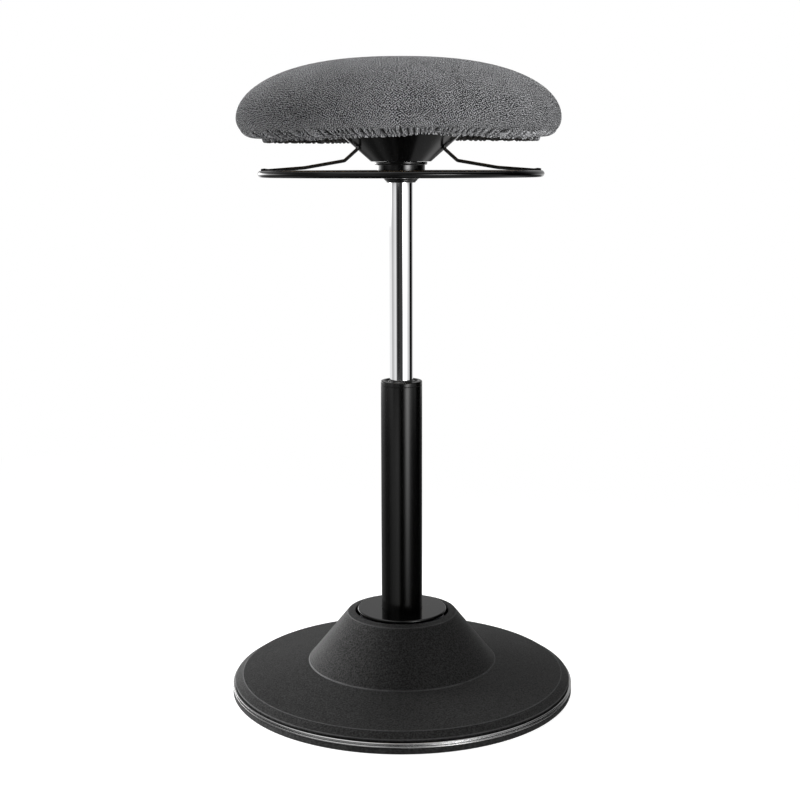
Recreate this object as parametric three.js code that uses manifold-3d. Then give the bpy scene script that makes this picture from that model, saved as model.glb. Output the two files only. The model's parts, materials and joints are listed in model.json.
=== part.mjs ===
// Wobble stool: a weighted round base, a gas-lift column that leans in a rubber pivot, and an
// oval padded seat with a release ring under it.
// Millimetres, +Z up, origin on the floor under the middle of the base, +X to the sitter's side.
import * as THREE from 'three';
import { mergeVertices } from 'three/addons/utils/BufferGeometryUtils.js';
import Module from 'manifold-3d';

const wasm = await Module();
wasm.setup();

// Clearances and the overrun of every cut
const seatGap = 0.3;
const runGap = 0.4;
const overrun = 1;
const weldDistance = 0.0001;

// Facets round the big, the middling and the small round pieces
const baseFacets = 48;
const pivotFacets = 32;
const liftFacets = 24;
const innerFacets = 16;
const screwFacets = 8;

// Base: rubber pad, bright edge trim, steel ballast and moulded cover
const pad = {
  radius: 210.1, height: 6.9, edgeRound: 1.5,
  footWidth: 46, recessDepth: 1.2,
};
const trim = { width: 6.6, height: 6.2, beadRadius: 1.2, beadTurn: 60, waistDepth: 0.9 };
const ballast = { thickness: 8 };
const cover = {
  wall: 2.8, edgeInset: 2.6, edgeHeight: 2.8, creaseInset: 12.5, creaseRise: 9.3,
  footRadius: 116.2, footRise: 22.1, neckOut: 9.7, neckDrop: 2.1,
  mouthRadius: 57.5, mouthRise: 18.6, mouthDepth: 6,
};
const coverBoss = { count: 4, inset: 45, radius: 5, holeDepth: 8, startAngle: 45 };
const coverScrew = { shank: 2, headRadius: 4, headHeight: 2.4, bite: 7 };

// Tilting pivot: bolted housing, rubber bush, retaining ring and stop buffer
const pivot = { height: 80, ballOut: 4.8, bushWall: 6.6 };
const ballZone = { below: 15, above: 11 };
const bushZone = { below: 14.5, above: 10 };
const housing = { boreOut: 3.6, wall: 8, flangeOut: 20, flangeThickness: 6, seatDepth: 18 };
const housingBolt = {
  count: 4, out: 10, startAngle: 0, shank: 5, headRadius: 8, headHeight: 6, bite: 6,
};
const retainer = { thickness: 10.7, screwInset: 5.4 };
const retainerScrew = { count: 3, startAngle: 30, shank: 2, headRadius: 3.8, bite: 9 };
const buffer = { wall: 9.7, height: 26, lipRound: 4 };
const sleeve = { wall: 3.2, flangeOut: 7.8, flangeThickness: 3.3, footRise: 4 };
const topPlate = { rimGap: 2.7, proud: 2.8, thickness: 3.4, edgeRound: 1.4 };

// Gas lift: outer tube with tapered foot, guide, thrust bearing, rod, piston and pressure tube
const tube = {
  radius: 25, wall: 2, topHeight: 380.6, footGap: 10.8, taperDrop: 5.4, taperDepth: 1.8,
  floorRise: 3, floorThickness: 3,
};
const guide = { length: 70, capHeight: 5.2, capRound: 1.6 };
const rod = { radius: 5, clipRadius: 9, clipThickness: 2, clipDrop: 0.5 };
const bearing = {
  tubeGap: 4.2, washer: 1.5, ballRadius: 2, ballInset: 5, ballCount: 8, cageWidth: 5, cageHeight: 1.6,
};
const bumpStop = { radius: 11, height: 8 };
const piston = { height: 10, groove: 1.2, reach: 26.8 };
const lift = { radius: 14, wall: 2, overlap: 98.6, topHeight: 656, valveBlock: 56, taperDepth: 0.8 };
const gland = { height: 12 };
const valvePin = { radius: 3, depth: 16, domeHeight: 1 };

// Seat carrier: everything that hangs under the seat board
const dustRing = { belowLift: 34.2, height: 5.6, lowOut: 1.6, highOut: 6.9, ribDepth: 0.7 };
const hub = { wall: 5, proud: 1 };
const collar = { wall: 9.2, height: 14.6, lipOut: 2.8, lipHeight: 3.6, edgeRound: 0.8 };
const bracket = {
  sheet: 3, hubGap: 2.5, floorMargin: 5, axleMargin: 7, wallRise: 15, flangeOut: 25.5,
};
const cone = {
  lowOut: 11.6, flare: 35.9, height: 34.5, wall: 2.5, cornerRound: 1.6,
  flangeWidth: 8, slotWidth: 7.4, slotReach: 18, slotInset: 4.5,
};
const coneScrew = {
  count: 3, inset: 4, startAngle: 90, shank: 1.8, headRadius: 3.2, headHeight: 2, bite: 7,
};
const seatScrew = { out: 15.5, front: -8, back: 22, shank: 3, headRadius: 6, headHeight: 4.2 };
const teeNut = { flangeRadius: 9, flangeHeight: 1.4, barrelRadius: 4.4, lowRise: 0.9 };

// Release lever: ring, bent wire legs with the axle, tongue over the valve pin
// The wire leaves the axle at its shoulder, goes in to the waist, down to the knee, out to the
// ankle and on to the ring. Its upper corners hang from the axle, the lower ones stand on the ring.
const ring = { radius: 164, rodRadius: 3.9, belowLift: 24 };
const wire = {
  radius: 2, forward: 24, coneGap: 14.1, shoulderOut: 6.8, waistDrop: 8.2, kneeDrop: 12.2,
  ankleOut: 15.2, ankleRise: 15.2, midIn: 52, midRise: 7.2, endRise: 3.4,
  tightBend: 4.5, slackBend: 40,
};
const axleBush = { radius: 3.6, flangeRadius: 4.6, flangeThickness: 1.4 };
const tongue = {
  width: 16, thickness: 2.6, eyeWall: 2.2, armDrop: 6.3, reach: 8, pinGap: 0.5, heel: 12,
};

// Seat: plywood board, moulded foam, knitted cover with gathered hem and its elastic
const seat = {
  halfWidth: 191, halfDepth: 170, widestAboveBoard: 16, crown: 70, hemInset: 41, hemBelowBoard: 8,
};
const seatPlanShare = 2.2;
const seatCrownWidthShare = 2.5;
const seatCrownHeightShare = 2;
const board = { thickness: 12, inset: 25 };
const fabric = { thickness: 1.6, gatherDepth: 1.1 };
const foamEdge = { drop: 2.6, innerInset: 36 };
const elastic = { radius: 1.3 };
const crownSteps = 7;
const underSteps = 3;
const seatFacets = 48;

const materials = {
  rubber: new THREE.MeshStandardMaterial({ color: 0x1b1b1c, roughness: 0.85, metalness: 0 }),
  brightTrim: new THREE.MeshStandardMaterial({ color: 0x9a9a9c, roughness: 0.25, metalness: 1 }),
  steel: new THREE.MeshStandardMaterial({ color: 0x8d8f92, roughness: 0.45, metalness: 1 }),
  blackPlastic: new THREE.MeshStandardMaterial({ color: 0x242425, roughness: 0.6, metalness: 0 }),
  blackGloss: new THREE.MeshStandardMaterial({ color: 0x0f0f10, roughness: 0.2, metalness: 0 }),
  blackPaint: new THREE.MeshStandardMaterial({ color: 0x111112, roughness: 0.35, metalness: 0 }),
  chrome: new THREE.MeshStandardMaterial({ color: 0xe6e7e9, roughness: 0.06, metalness: 1 }),
  guidePlastic: new THREE.MeshStandardMaterial({ color: 0x1a1a1b, roughness: 0.4, metalness: 0 }),
  plywood: new THREE.MeshStandardMaterial({ color: 0xb58a58, roughness: 0.7, metalness: 0 }),
  foam: new THREE.MeshStandardMaterial({ color: 0xd9cfa8, roughness: 0.95, metalness: 0 }),
  knit: new THREE.MeshStandardMaterial({ color: 0x555658, roughness: 0.95, metalness: 0 }),
};

const stool = new THREE.Group();
const degrees = Math.PI / 180;

// Shape helpers

// One closed surface: shared corners, no slivers, faces pointing out
function welded(geometry) {
  const bare = geometry.clone();
  bare.deleteAttribute('normal');
  bare.deleteAttribute('uv');
  const merged = mergeVertices(bare, weldDistance);
  const corners = merged.index.array;
  const kept = [];
  for (let i = 0; i < corners.length; i += 3) {
    const [a, b, c] = [corners[i], corners[i + 1], corners[i + 2]];
    if (a !== b && b !== c && c !== a) kept.push(a, b, c);
  }
  const points = merged.attributes.position;
  const [p, q, r] = [new THREE.Vector3(), new THREE.Vector3(), new THREE.Vector3()];
  let volume = 0;
  for (let i = 0; i < kept.length; i += 3) {
    p.fromBufferAttribute(points, kept[i]);
    q.fromBufferAttribute(points, kept[i + 1]);
    r.fromBufferAttribute(points, kept[i + 2]);
    volume += p.dot(q.cross(r));
  }
  merged.setIndex(volume < 0 ? kept.reverse() : kept);
  return merged;
}

function solidOf(geometry) {
  const { attributes, index } = welded(geometry);
  return new wasm.Manifold(new wasm.Mesh({
    numProp: 3,
    vertProperties: new Float32Array(attributes.position.array),
    triVerts: new Uint32Array(index.array),
  }));
}

function geometryOf(solid) {
  const mesh = solid.getMesh();
  const geometry = new THREE.BufferGeometry();
  geometry.setAttribute('position', new THREE.BufferAttribute(mesh.vertProperties, 3));
  geometry.setIndex(new THREE.BufferAttribute(mesh.triVerts, 1));
  return geometry;
}

const join = (first, ...rest) =>
  geometryOf(rest.reduce((body, piece) => body.add(solidOf(piece)), solidOf(first)));

const cut = (first, ...tools) =>
  geometryOf(tools.reduce((body, tool) => body.subtract(solidOf(tool)), solidOf(first)));

// A profile of [radius, height] points that starts and ends on the axis, turned round it
function revolve(profile, facets) {
  const points = profile.map(([radius, height]) => new THREE.Vector2(radius, height));
  return welded(new THREE.LatheGeometry(points, facets).rotateX(Math.PI / 2));
}

// A closed profile beside the axis, turned round it
const revolveRing = (profile, facets) => revolve([...profile, profile[0]], facets);

// A plain ring or disc between two radii and two heights
const washer = (inner, outer, low, high, facets) =>
  revolveRing([[inner, low], [outer, low], [outer, high], [inner, high]], facets);

const rodBetween = (radius, low, high, facets) =>
  revolve([[0, low], [radius, low], [radius, high], [0, high]], facets);

// A box between two corners
function block([x0, y0, z0], [x1, y1, z1]) {
  return new THREE.BoxGeometry(x1 - x0, y1 - y0, z1 - z0)
    .translate((x0 + x1) / 2, (y0 + y1) / 2, (z0 + z1) / 2);
}

// Points of an arc in a profile, by angles in degrees from the outward direction
function arc(centreRadius, centreHeight, radius, from, to, steps) {
  return Array.from({ length: steps + 1 }, (_, i) => {
    const angle = (from + (to - from) * i / steps) * degrees;
    return [centreRadius + radius * Math.cos(angle), centreHeight + radius * Math.sin(angle)];
  });
}

// Points of a sphere about the pivot, between two heights over its middle
function ballArc(radius, low, high, steps) {
  const from = Math.asin(low / radius) / degrees;
  const to = Math.asin(high / radius) / degrees;
  return arc(0, pivot.height, radius, from, to, steps);
}

// The path moved to its right by one wall, with mitred corners
function wallBeside(path, wall) {
  return path.map(([x, y], i) => {
    const before = path[Math.max(i - 1, 0)];
    const after = path[Math.min(i + 1, path.length - 1)];
    const inward = [];
    if (i > 0) inward.push([x - before[0], y - before[1]]);
    if (i < path.length - 1) inward.push([after[0] - x, after[1] - y]);
    const normals = inward.map(([dx, dy]) => {
      const length = Math.hypot(dx, dy);
      return [dy / length, -dx / length];
    });
    const first = normals[0];
    const last = normals[normals.length - 1];
    const share = wall / (1 + first[0] * last[0] + first[1] * last[1]);
    return [x + (first[0] + last[0]) * share, y + (first[1] + last[1]) * share];
  });
}

// Places on a circle: a list of [x, y]
function placesRound({ count, circle, startAngle }) {
  return Array.from({ length: count }, (_, i) => {
    const angle = (startAngle + 360 * i / count) * degrees;
    return [circle * Math.cos(angle), circle * Math.sin(angle)];
  });
}

function addPiece(name, geometry, material, [x, y, z] = [0, 0, 0]) {
  const mesh = new THREE.Mesh(geometry, materials[material]);
  mesh.name = name;
  mesh.position.set(x, y, z);
  stool.add(mesh);
}

// A headed screw standing on its axis: the head's seat is at height zero and the shank goes up
const screw = (shank, length, headRadius, headHeight) => revolve([
  [0, -headHeight], [headRadius, -headHeight], [headRadius, 0], [shank, 0], [shank, length], [0, length],
], screwFacets);

// A straight round hole cutter at a place
const drill = (radius, low, high, [x, y]) => rodBetween(radius, low, high, screwFacets).translate(x, y, 0);

// Sizes that the base's pieces share, from the column outwards and from the floor up
const sleeveRadius = tube.radius + sleeve.wall;
const ballRadius = sleeveRadius + pivot.ballOut;
const bushRadius = ballRadius + runGap + pivot.bushWall;
const seatRadius = bushRadius + runGap;
const housingBore = seatRadius + housing.boreOut;
const housingRadius = housingBore + housing.wall;
const ballastRadius = pad.radius - trim.width - seatGap;
const trimLow = pad.height + seatGap;
const trimTop = trimLow + trim.height;
const ballastLow = pad.height + seatGap;
const ballastTop = ballastLow + ballast.thickness;
const housingLow = ballastTop + seatGap;
const tubeFoot = ballastTop + tube.footGap;
const mouthTop = pivot.height + cover.mouthRise;
const plateTop = mouthTop + topPlate.proud;
const bossPlaces = placesRound({ ...coverBoss, circle: pad.radius - coverBoss.inset });
const boltPlaces = placesRound({ ...housingBolt, circle: housingRadius + housingBolt.out });
const retainerPlaces = placesRound({ ...retainerScrew, circle: housingRadius - retainer.screwInset });

function makePad() {
  const landInner = pad.radius - pad.edgeRound - pad.footWidth;
  addPiece('base_pad', revolve([
    [0, pad.recessDepth], [landInner, pad.recessDepth], [landInner, 0],
    [pad.radius - pad.edgeRound, 0], [pad.radius, pad.edgeRound], [pad.radius, pad.height], [0, pad.height],
  ], baseFacets), 'rubber');
}

// The trim's outer face has an upper and a lower bead with a waist between them
function makeTrim() {
  const bead = trim.beadRadius;
  const inner = pad.radius - trim.width;
  const beadCentre = pad.radius - bead;
  const waist = pad.radius - trim.waistDepth - bead;
  addPiece('base_trim_ring', revolveRing([
    [inner, trimLow],
    ...arc(beadCentre, trimLow + bead, bead, -90, trim.beadTurn, 2),
    [waist, trimLow + trim.height / 2],
    ...arc(beadCentre, trimTop - bead, bead, -trim.beadTurn, 90, 2),
    [inner, trimTop],
  ], baseFacets), 'brightTrim');
}

function makeBallast() {
  const plate = rodBetween(ballastRadius, ballastLow, ballastTop, baseFacets);
  const bolts = boltPlaces.map((place) =>
    drill(housingBolt.shank + seatGap, ballastTop - housingBolt.bite - seatGap, ballastTop + overrun, place));
  const screws = bossPlaces.flatMap((place) => [
    drill(coverScrew.shank + seatGap, ballastLow - overrun, ballastTop + overrun, place),
    drill(coverScrew.headRadius + seatGap, ballastLow - overrun,
      ballastLow + coverScrew.headHeight + seatGap, place),
  ]);
  addPiece('ballast_plate', cut(plate, ...bolts, ...screws), 'steel');
}

const coverLow = trimTop + seatGap;
const edgeRadius = pad.radius - cover.edgeInset;
const creaseRadius = pad.radius - cover.creaseInset;
const coverPath = [
  [cover.mouthRadius, mouthTop - cover.mouthDepth],
  [cover.mouthRadius, mouthTop],
  [cover.mouthRadius + cover.neckOut, mouthTop - cover.neckDrop],
  [cover.footRadius, coverLow + cover.footRise],
  [creaseRadius, coverLow + cover.creaseRise],
  [edgeRadius, coverLow + cover.edgeHeight],
  [edgeRadius, coverLow],
];

function makeBaseCover() {
  const shell = revolveRing([...coverPath, ...wallBeside(coverPath, cover.wall).reverse()], baseFacets);
  const slope = (cover.footRise - cover.creaseRise) / (creaseRadius - cover.footRadius);
  const bossIn = coverBoss.inset - cover.creaseInset;
  const bossTop = coverLow + cover.creaseRise + bossIn * slope - cover.wall / 2;
  const bossLow = ballastTop + seatGap;
  const bosses = bossPlaces.map((place) => drill(coverBoss.radius, bossLow, bossTop, place));
  const holes = bossPlaces.map((place) =>
    drill(coverScrew.shank + seatGap, bossLow - overrun, bossLow + coverBoss.holeDepth, place));
  addPiece('base_cover', cut(join(shell, ...bosses), ...holes), 'blackPlastic');
  const headSeat = ballastLow + coverScrew.headHeight + seatGap;
  const length = ballastTop + seatGap + coverScrew.bite - headSeat;
  bossPlaces.forEach(([x, y], i) => {
    const shape = screw(coverScrew.shank, length, coverScrew.headRadius, coverScrew.headHeight);
    addPiece(`cover_screw_${i + 1}`, shape, 'steel', [x, y, headSeat - seatGap]);
  });
}

// Housing: a flanged cup whose upper half is the lower part of the ball seat
function makeHousing() {
  const flangeTop = housingLow + housing.flangeThickness;
  const seatLow = pivot.height - housing.seatDepth;
  const flangeRadius = housingRadius + housing.flangeOut;
  const cup = revolveRing([
    [housingBore, housingLow], [flangeRadius, housingLow],
    [flangeRadius, flangeTop], [housingRadius, flangeTop], [housingRadius, pivot.height],
    ...ballArc(seatRadius, -housing.seatDepth, 0, 5).reverse(),
    [housingBore, seatLow - housing.boreOut],
  ], pivotFacets);
  const bolts = boltPlaces.map((place) =>
    drill(housingBolt.shank + seatGap, housingLow - overrun, flangeTop + overrun, place));
  const screws = retainerPlaces.map((place) =>
    drill(retainerScrew.shank + seatGap, pivot.height - retainerScrew.bite - seatGap,
      pivot.height + overrun, place));
  addPiece('pivot_housing', cut(cup, ...bolts, ...screws), 'steel');
  boltPlaces.forEach(([x, y], i) => {
    const reach = flangeTop + seatGap - (ballastTop - housingBolt.bite);
    const shape = screw(housingBolt.shank, reach, housingBolt.headRadius, housingBolt.headHeight);
    addPiece(`housing_bolt_${i + 1}`, shape.rotateX(Math.PI), 'steel', [x, y, flangeTop + seatGap]);
  });
}

// Retaining ring over the bush, held by countersunk screws
function makeRetainer() {
  const low = pivot.height + seatGap;
  const top = low + retainer.thickness;
  const body = revolveRing([
    [housingRadius, low], [housingRadius, top],
    ...ballArc(seatRadius, seatGap, top - pivot.height, 3).reverse(),
  ], pivotFacets);
  const sink = retainerScrew.headRadius - retainerScrew.shank;
  const holes = retainerPlaces.flatMap(([x, y]) => [
    drill(retainerScrew.shank + seatGap, low - overrun, top + overrun, [x, y]),
    revolve([
      [0, top + overrun], [retainerScrew.headRadius + seatGap + overrun, top + overrun],
      [retainerScrew.shank + seatGap, top - sink], [0, top - sink],
    ], screwFacets).translate(x, y, 0),
  ]);
  addPiece('bush_retaining_ring', cut(body, ...holes), 'steel');
  const headTop = top - seatGap;
  retainerPlaces.forEach(([x, y], i) => {
    const shape = revolve([
      [0, headTop], [retainerScrew.headRadius - seatGap, headTop],
      [retainerScrew.shank, headTop - sink], [retainerScrew.shank, pivot.height - retainerScrew.bite],
      [0, pivot.height - retainerScrew.bite],
    ], screwFacets);
    addPiece(`retainer_screw_${i + 1}`, shape, 'steel', [x, y, 0]);
  });
}

function makeBuffer() {
  const outer = housingBore - seatGap;
  const inner = outer - buffer.wall;
  const top = housingLow + buffer.height;
  addPiece('stop_buffer', revolveRing([
    [inner, housingLow], [outer, housingLow], [outer, top - buffer.lipRound],
    [outer - buffer.lipRound, top], [inner, top],
  ], pivotFacets), 'rubber');
}

function makeBush() {
  addPiece('tilt_bush', revolveRing([
    ...ballArc(bushRadius, -bushZone.below, bushZone.above, 5),
    ...ballArc(ballRadius + runGap, -bushZone.below, bushZone.above, 5).reverse(),
  ], pivotFacets), 'rubber');
}

// Radius of the outer tube's tapered foot at a height
const taperTop = plateTop - tube.taperDrop;
const taperRadius = (height) =>
  tube.radius - tube.taperDepth * Math.max(0, (taperTop - height) / (taperTop - tubeFoot));
const plateLow = plateTop - topPlate.thickness;
const flangeTop = plateLow - seatGap;

// Sleeve: the taper socket with the ball of the pivot turned on its outside
function makeSleeve() {
  const flangeLow = flangeTop - sleeve.flangeThickness;
  const foot = tubeFoot + sleeve.footRise;
  addPiece('pivot_sleeve', revolveRing([
    [taperRadius(foot) + seatGap, foot],
    [sleeveRadius, foot],
    [sleeveRadius, pivot.height - ballZone.below],
    ...ballArc(ballRadius, -ballZone.below, ballZone.above, 5),
    [sleeveRadius, pivot.height + ballZone.above],
    [sleeveRadius, flangeLow],
    [sleeveRadius + sleeve.flangeOut, flangeLow],
    [sleeveRadius + sleeve.flangeOut, flangeTop],
    [tube.radius + seatGap, flangeTop],
    [tube.radius + seatGap, taperTop],
  ], pivotFacets), 'steel');
}

function makeTopPlate() {
  const edge = topPlate.edgeRound;
  const radius = cover.mouthRadius - topPlate.rimGap;
  addPiece('pivot_top_plate', revolveRing([
    [tube.radius + seatGap, plateLow],
    [radius - edge, plateLow],
    [radius, plateLow + edge],
    ...arc(radius - edge, plateTop - edge, edge, 0, 90, 2),
    [tube.radius + seatGap, plateTop],
  ], pivotFacets), 'blackGloss');
}

const floorLow = tubeFoot + tube.floorRise;
const floorTop = floorLow + tube.floorThickness;
const tubeBore = tube.radius - tube.wall;
const footBore = tubeBore - tube.taperDepth;

function makeOuterTube() {
  addPiece('outer_tube', revolveRing([
    [footBore, tubeFoot],
    [tube.radius - tube.taperDepth, tubeFoot],
    [tube.radius, taperTop],
    [tube.radius, tube.topHeight],
    [tubeBore, tube.topHeight],
    [tubeBore, taperTop],
    [footBore, floorTop],
    [rod.radius + runGap, floorTop],
    [rod.radius + runGap, floorLow],
    [footBore, floorLow],
  ], pivotFacets), 'blackPaint');
}

const capLow = tube.topHeight + seatGap;
const capTop = capLow + guide.capHeight;

function makeGuide() {
  const bore = lift.radius + runGap;
  addPiece('guide_bush', revolveRing([
    [bore, capLow - guide.length], [tubeBore - seatGap, capLow - guide.length],
    [tubeBore - seatGap, capLow], [tube.radius, capLow], [tube.radius, capTop - guide.capRound],
    [tube.radius - guide.capRound, capTop], [bore, capTop],
  ], liftFacets), 'guidePlastic');
}

// Thrust bearing stack on the tube's floor: washer, caged balls, washer, rubber bump stop
const lowWasherTop = floorTop + seatGap + bearing.washer;
const ballHeight = lowWasherTop + seatGap + bearing.ballRadius;
const highWasherLow = ballHeight + bearing.ballRadius + seatGap;
const bumpLow = highWasherLow + bearing.washer + seatGap;
const rodBore = rod.radius + seatGap;
const bearingRadius = footBore - bearing.tubeGap;
const ballCircle = bearingRadius - bearing.ballInset;

function makeBearing() {
  const low = floorTop + seatGap;
  const lower = washer(rodBore + runGap, bearingRadius, low, lowWasherTop, innerFacets);
  addPiece('thrust_washer_lower', lower, 'steel');
  const half = bearing.cageWidth / 2;
  const cage = washer(ballCircle - half, ballCircle + half,
    ballHeight - bearing.cageHeight / 2, ballHeight + bearing.cageHeight / 2, innerFacets);
  const ball = new THREE.SphereGeometry(bearing.ballRadius, 6, 3);
  const places = placesRound({ count: bearing.ballCount, circle: ballCircle, startAngle: 0 });
  const balls = places.map(([x, y]) => ball.clone().translate(x, y, ballHeight));
  addPiece('thrust_ball_cage', join(cage, ...balls), 'steel');
  addPiece('thrust_washer_upper',
    washer(rodBore, bearingRadius, highWasherLow, highWasherLow + bearing.washer, innerFacets), 'steel');
  const bulge = bumpStop.radius;
  addPiece('bump_stop', revolveRing([
    [rodBore, bumpLow], [bulge, bumpLow], [bulge - runGap, bumpLow + bumpStop.height / 2],
    [bulge, bumpLow + bumpStop.height], [rodBore, bumpLow + bumpStop.height],
  ], innerFacets), 'rubber');
}

// Rod with its clip under the tube's floor, and the piston inside the pressure tube
const liftLow = tube.topHeight - lift.overlap;
const liftBore = lift.radius - lift.wall;
const pistonLow = liftLow + piston.reach;

function makeRod() {
  const clipTop = floorLow - seatGap;
  const clipLow = clipTop - rod.clipThickness;
  addPiece('piston_rod', rodBetween(rod.radius, clipLow - rod.clipDrop, pistonLow + piston.height / 2,
    innerFacets), 'steel');
  addPiece('rod_clip', washer(rodBore, rod.clipRadius, clipLow, clipTop, innerFacets), 'steel');
  const outer = liftBore - runGap;
  const middle = pistonLow + piston.height / 2;
  const top = pistonLow + piston.height;
  addPiece('piston', revolve([
    [0, middle + seatGap], [rodBore, middle + seatGap], [rodBore, pistonLow], [outer, pistonLow],
    [outer, middle - piston.groove], [outer - piston.groove, middle - piston.groove],
    [outer - piston.groove, middle + piston.groove], [outer, middle + piston.groove],
    [outer, top], [0, top],
  ], innerFacets), 'guidePlastic');
}

// Sizes of the head, from the lift outwards and stacked up from the dust ring
const hubRadius = lift.radius + hub.wall;
const collarRadius = hubRadius + collar.wall;
const bracketHalf = hubRadius + bracket.hubGap + bracket.sheet;
const coneRadius = bracketHalf + cone.lowOut;
const coneTopRadius = coneRadius + cone.flare;
const dustLow = lift.topHeight - dustRing.belowLift;
const dustTop = dustLow + dustRing.height;
const collarLow = dustTop + seatGap;
const collarTop = collarLow + collar.height + collar.lipHeight;
const coneLow = collarTop + seatGap;
const coneTop = coneLow + cone.height;
const boardLow = coneTop + seatGap;
const boardTop = boardLow + board.thickness;
const taperLow = collarLow + seatGap;
const bracketLow = coneLow + cone.wall + seatGap;
const bracketTop = boardLow - seatGap;
const hubTop = bracketLow + bracket.sheet + hub.proud;
const ringHeight = lift.topHeight - ring.belowLift;
const axleHeight = bracketTop - bracket.sheet - seatGap - axleBush.flangeRadius;
const armLow = axleHeight - tongue.armDrop;
const waistOut = coneRadius + wire.coneGap;
const coneScrewPlaces = placesRound({ ...coneScrew, circle: coneTopRadius + coneScrew.inset });

const liftTaper = (height) =>
  lift.radius - lift.taperDepth * Math.max(0, (height - taperLow) / (lift.topHeight - taperLow));

function makePressureTube() {
  const blockLow = lift.topHeight - lift.valveBlock;
  const pinBore = valvePin.radius + runGap;
  addPiece('pressure_tube', revolveRing([
    [liftBore, liftLow], [lift.radius, liftLow], [lift.radius, taperLow],
    [liftTaper(lift.topHeight), lift.topHeight], [pinBore, lift.topHeight], [pinBore, blockLow],
    [liftBore, blockLow],
  ], liftFacets), 'chrome');
  addPiece('rod_gland', washer(rod.radius + runGap, liftBore - seatGap, liftLow,
    liftLow + gland.height, liftFacets), 'guidePlastic');
  const low = lift.topHeight - valvePin.depth;
  const top = armLow - tongue.pinGap;
  addPiece('valve_pin', revolve([
    [0, low], [valvePin.radius, low],
    [valvePin.radius, top - valvePin.domeHeight], [valvePin.radius / 2, top], [0, top],
  ], screwFacets), 'steel');
}

function makeDustRing() {
  const bore = lift.radius + runGap;
  const ribs = 3;
  const outside = [];
  for (let i = 0; i < ribs; i += 1) {
    const radius = lift.radius + dustRing.lowOut + (dustRing.highOut - dustRing.lowOut) * (i + 1) / ribs;
    const low = dustLow + dustRing.height * i / ribs;
    const high = dustLow + dustRing.height * (i + 1) / ribs;
    outside.push([radius - dustRing.ribDepth, low], [radius, (low + high) / 2]);
  }
  addPiece('dust_ring', revolveRing([
    [bore, dustLow], ...outside, [lift.radius + dustRing.highOut, dustTop], [bore, dustTop],
  ], liftFacets), 'blackPlastic');
}

function makeHub() {
  addPiece('hub_socket', revolveRing([
    [liftTaper(taperLow) + seatGap, taperLow], [hubRadius, taperLow],
    [hubRadius, hubTop], [liftTaper(hubTop) + seatGap, hubTop],
  ], liftFacets), 'steel');
  const lipLow = collarLow + collar.height;
  const lipRadius = collarRadius + collar.lipOut;
  const round = collar.edgeRound;
  addPiece('hub_collar', revolveRing([
    [hubRadius + seatGap, collarLow], [collarRadius - round, collarLow],
    [collarRadius, collarLow + round], [collarRadius, lipLow],
    [lipRadius, lipLow + round], [lipRadius, collarTop - round],
    [lipRadius - round, collarTop], [hubRadius + seatGap, collarTop],
  ], liftFacets), 'blackGloss');
}

// Cone cover: floor, flank and a flange under the board, with a slot for each leg of the lever
function makeConeCover() {
  const path = [
    [hubRadius + seatGap, coneLow],
    [coneRadius - cone.cornerRound, coneLow],
    [coneRadius, coneLow + cone.cornerRound / 2],
    [coneTopRadius, coneTop - cone.wall],
    [coneTopRadius + cone.flangeWidth, coneTop - cone.wall],
  ];
  const inner = wallBeside(path, -cone.wall);
  const shell = revolveRing([...path, ...inner.reverse()], pivotFacets);
  const slotFoot = axleHeight - wire.kneeDrop;
  const slotTop = coneTop - cone.wall - seatGap;
  const slotIn = waistOut - cone.slotInset;
  const front = -wire.forward - cone.slotWidth / 2;
  const slot = block([slotIn, front, slotFoot], [slotIn + cone.slotReach, front + cone.slotWidth, slotTop]);
  const below = coneTop - cone.wall - overrun;
  const holes = coneScrewPlaces.map((place) =>
    drill(coneScrew.shank + seatGap, below, coneTop + overrun, place));
  const slots = [slot, slot.clone().translate(-2 * slotIn - cone.slotReach, 0, 0)];
  addPiece('cone_cover', cut(shell, ...slots, ...holes), 'blackPlastic');
  coneScrewPlaces.forEach(([x, y], i) => {
    const headSeat = coneTop - cone.wall - seatGap;
    const length = coneTop + coneScrew.bite - headSeat;
    const shape = screw(coneScrew.shank, length, coneScrew.headRadius, coneScrew.headHeight);
    addPiece(`cone_screw_${i + 1}`, shape, 'steel', [x, y, headSeat]);
  });
}

// Bracket: pressed channel with a floor for the hub and flanges under the board
const seatScrewPlaces = [seatScrew.front, seatScrew.back].flatMap((y) => {
  const out = bracketHalf + seatScrew.out;
  return [[-out, y], [out, y]];
});

// An outline of [y, z] points in the upright plane, extruded along X
function plateAlongX(outline, from, to, holes = []) {
  const shape = new THREE.Shape(outline.map(([y, z]) => new THREE.Vector2(y, z)));
  shape.holes = holes;
  const depth = to - from;
  return new THREE.ExtrudeGeometry(shape, { depth, bevelEnabled: false, curveSegments: screwFacets })
    .rotateX(Math.PI / 2).rotateZ(Math.PI / 2).translate(from, 0, 0);
}

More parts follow.
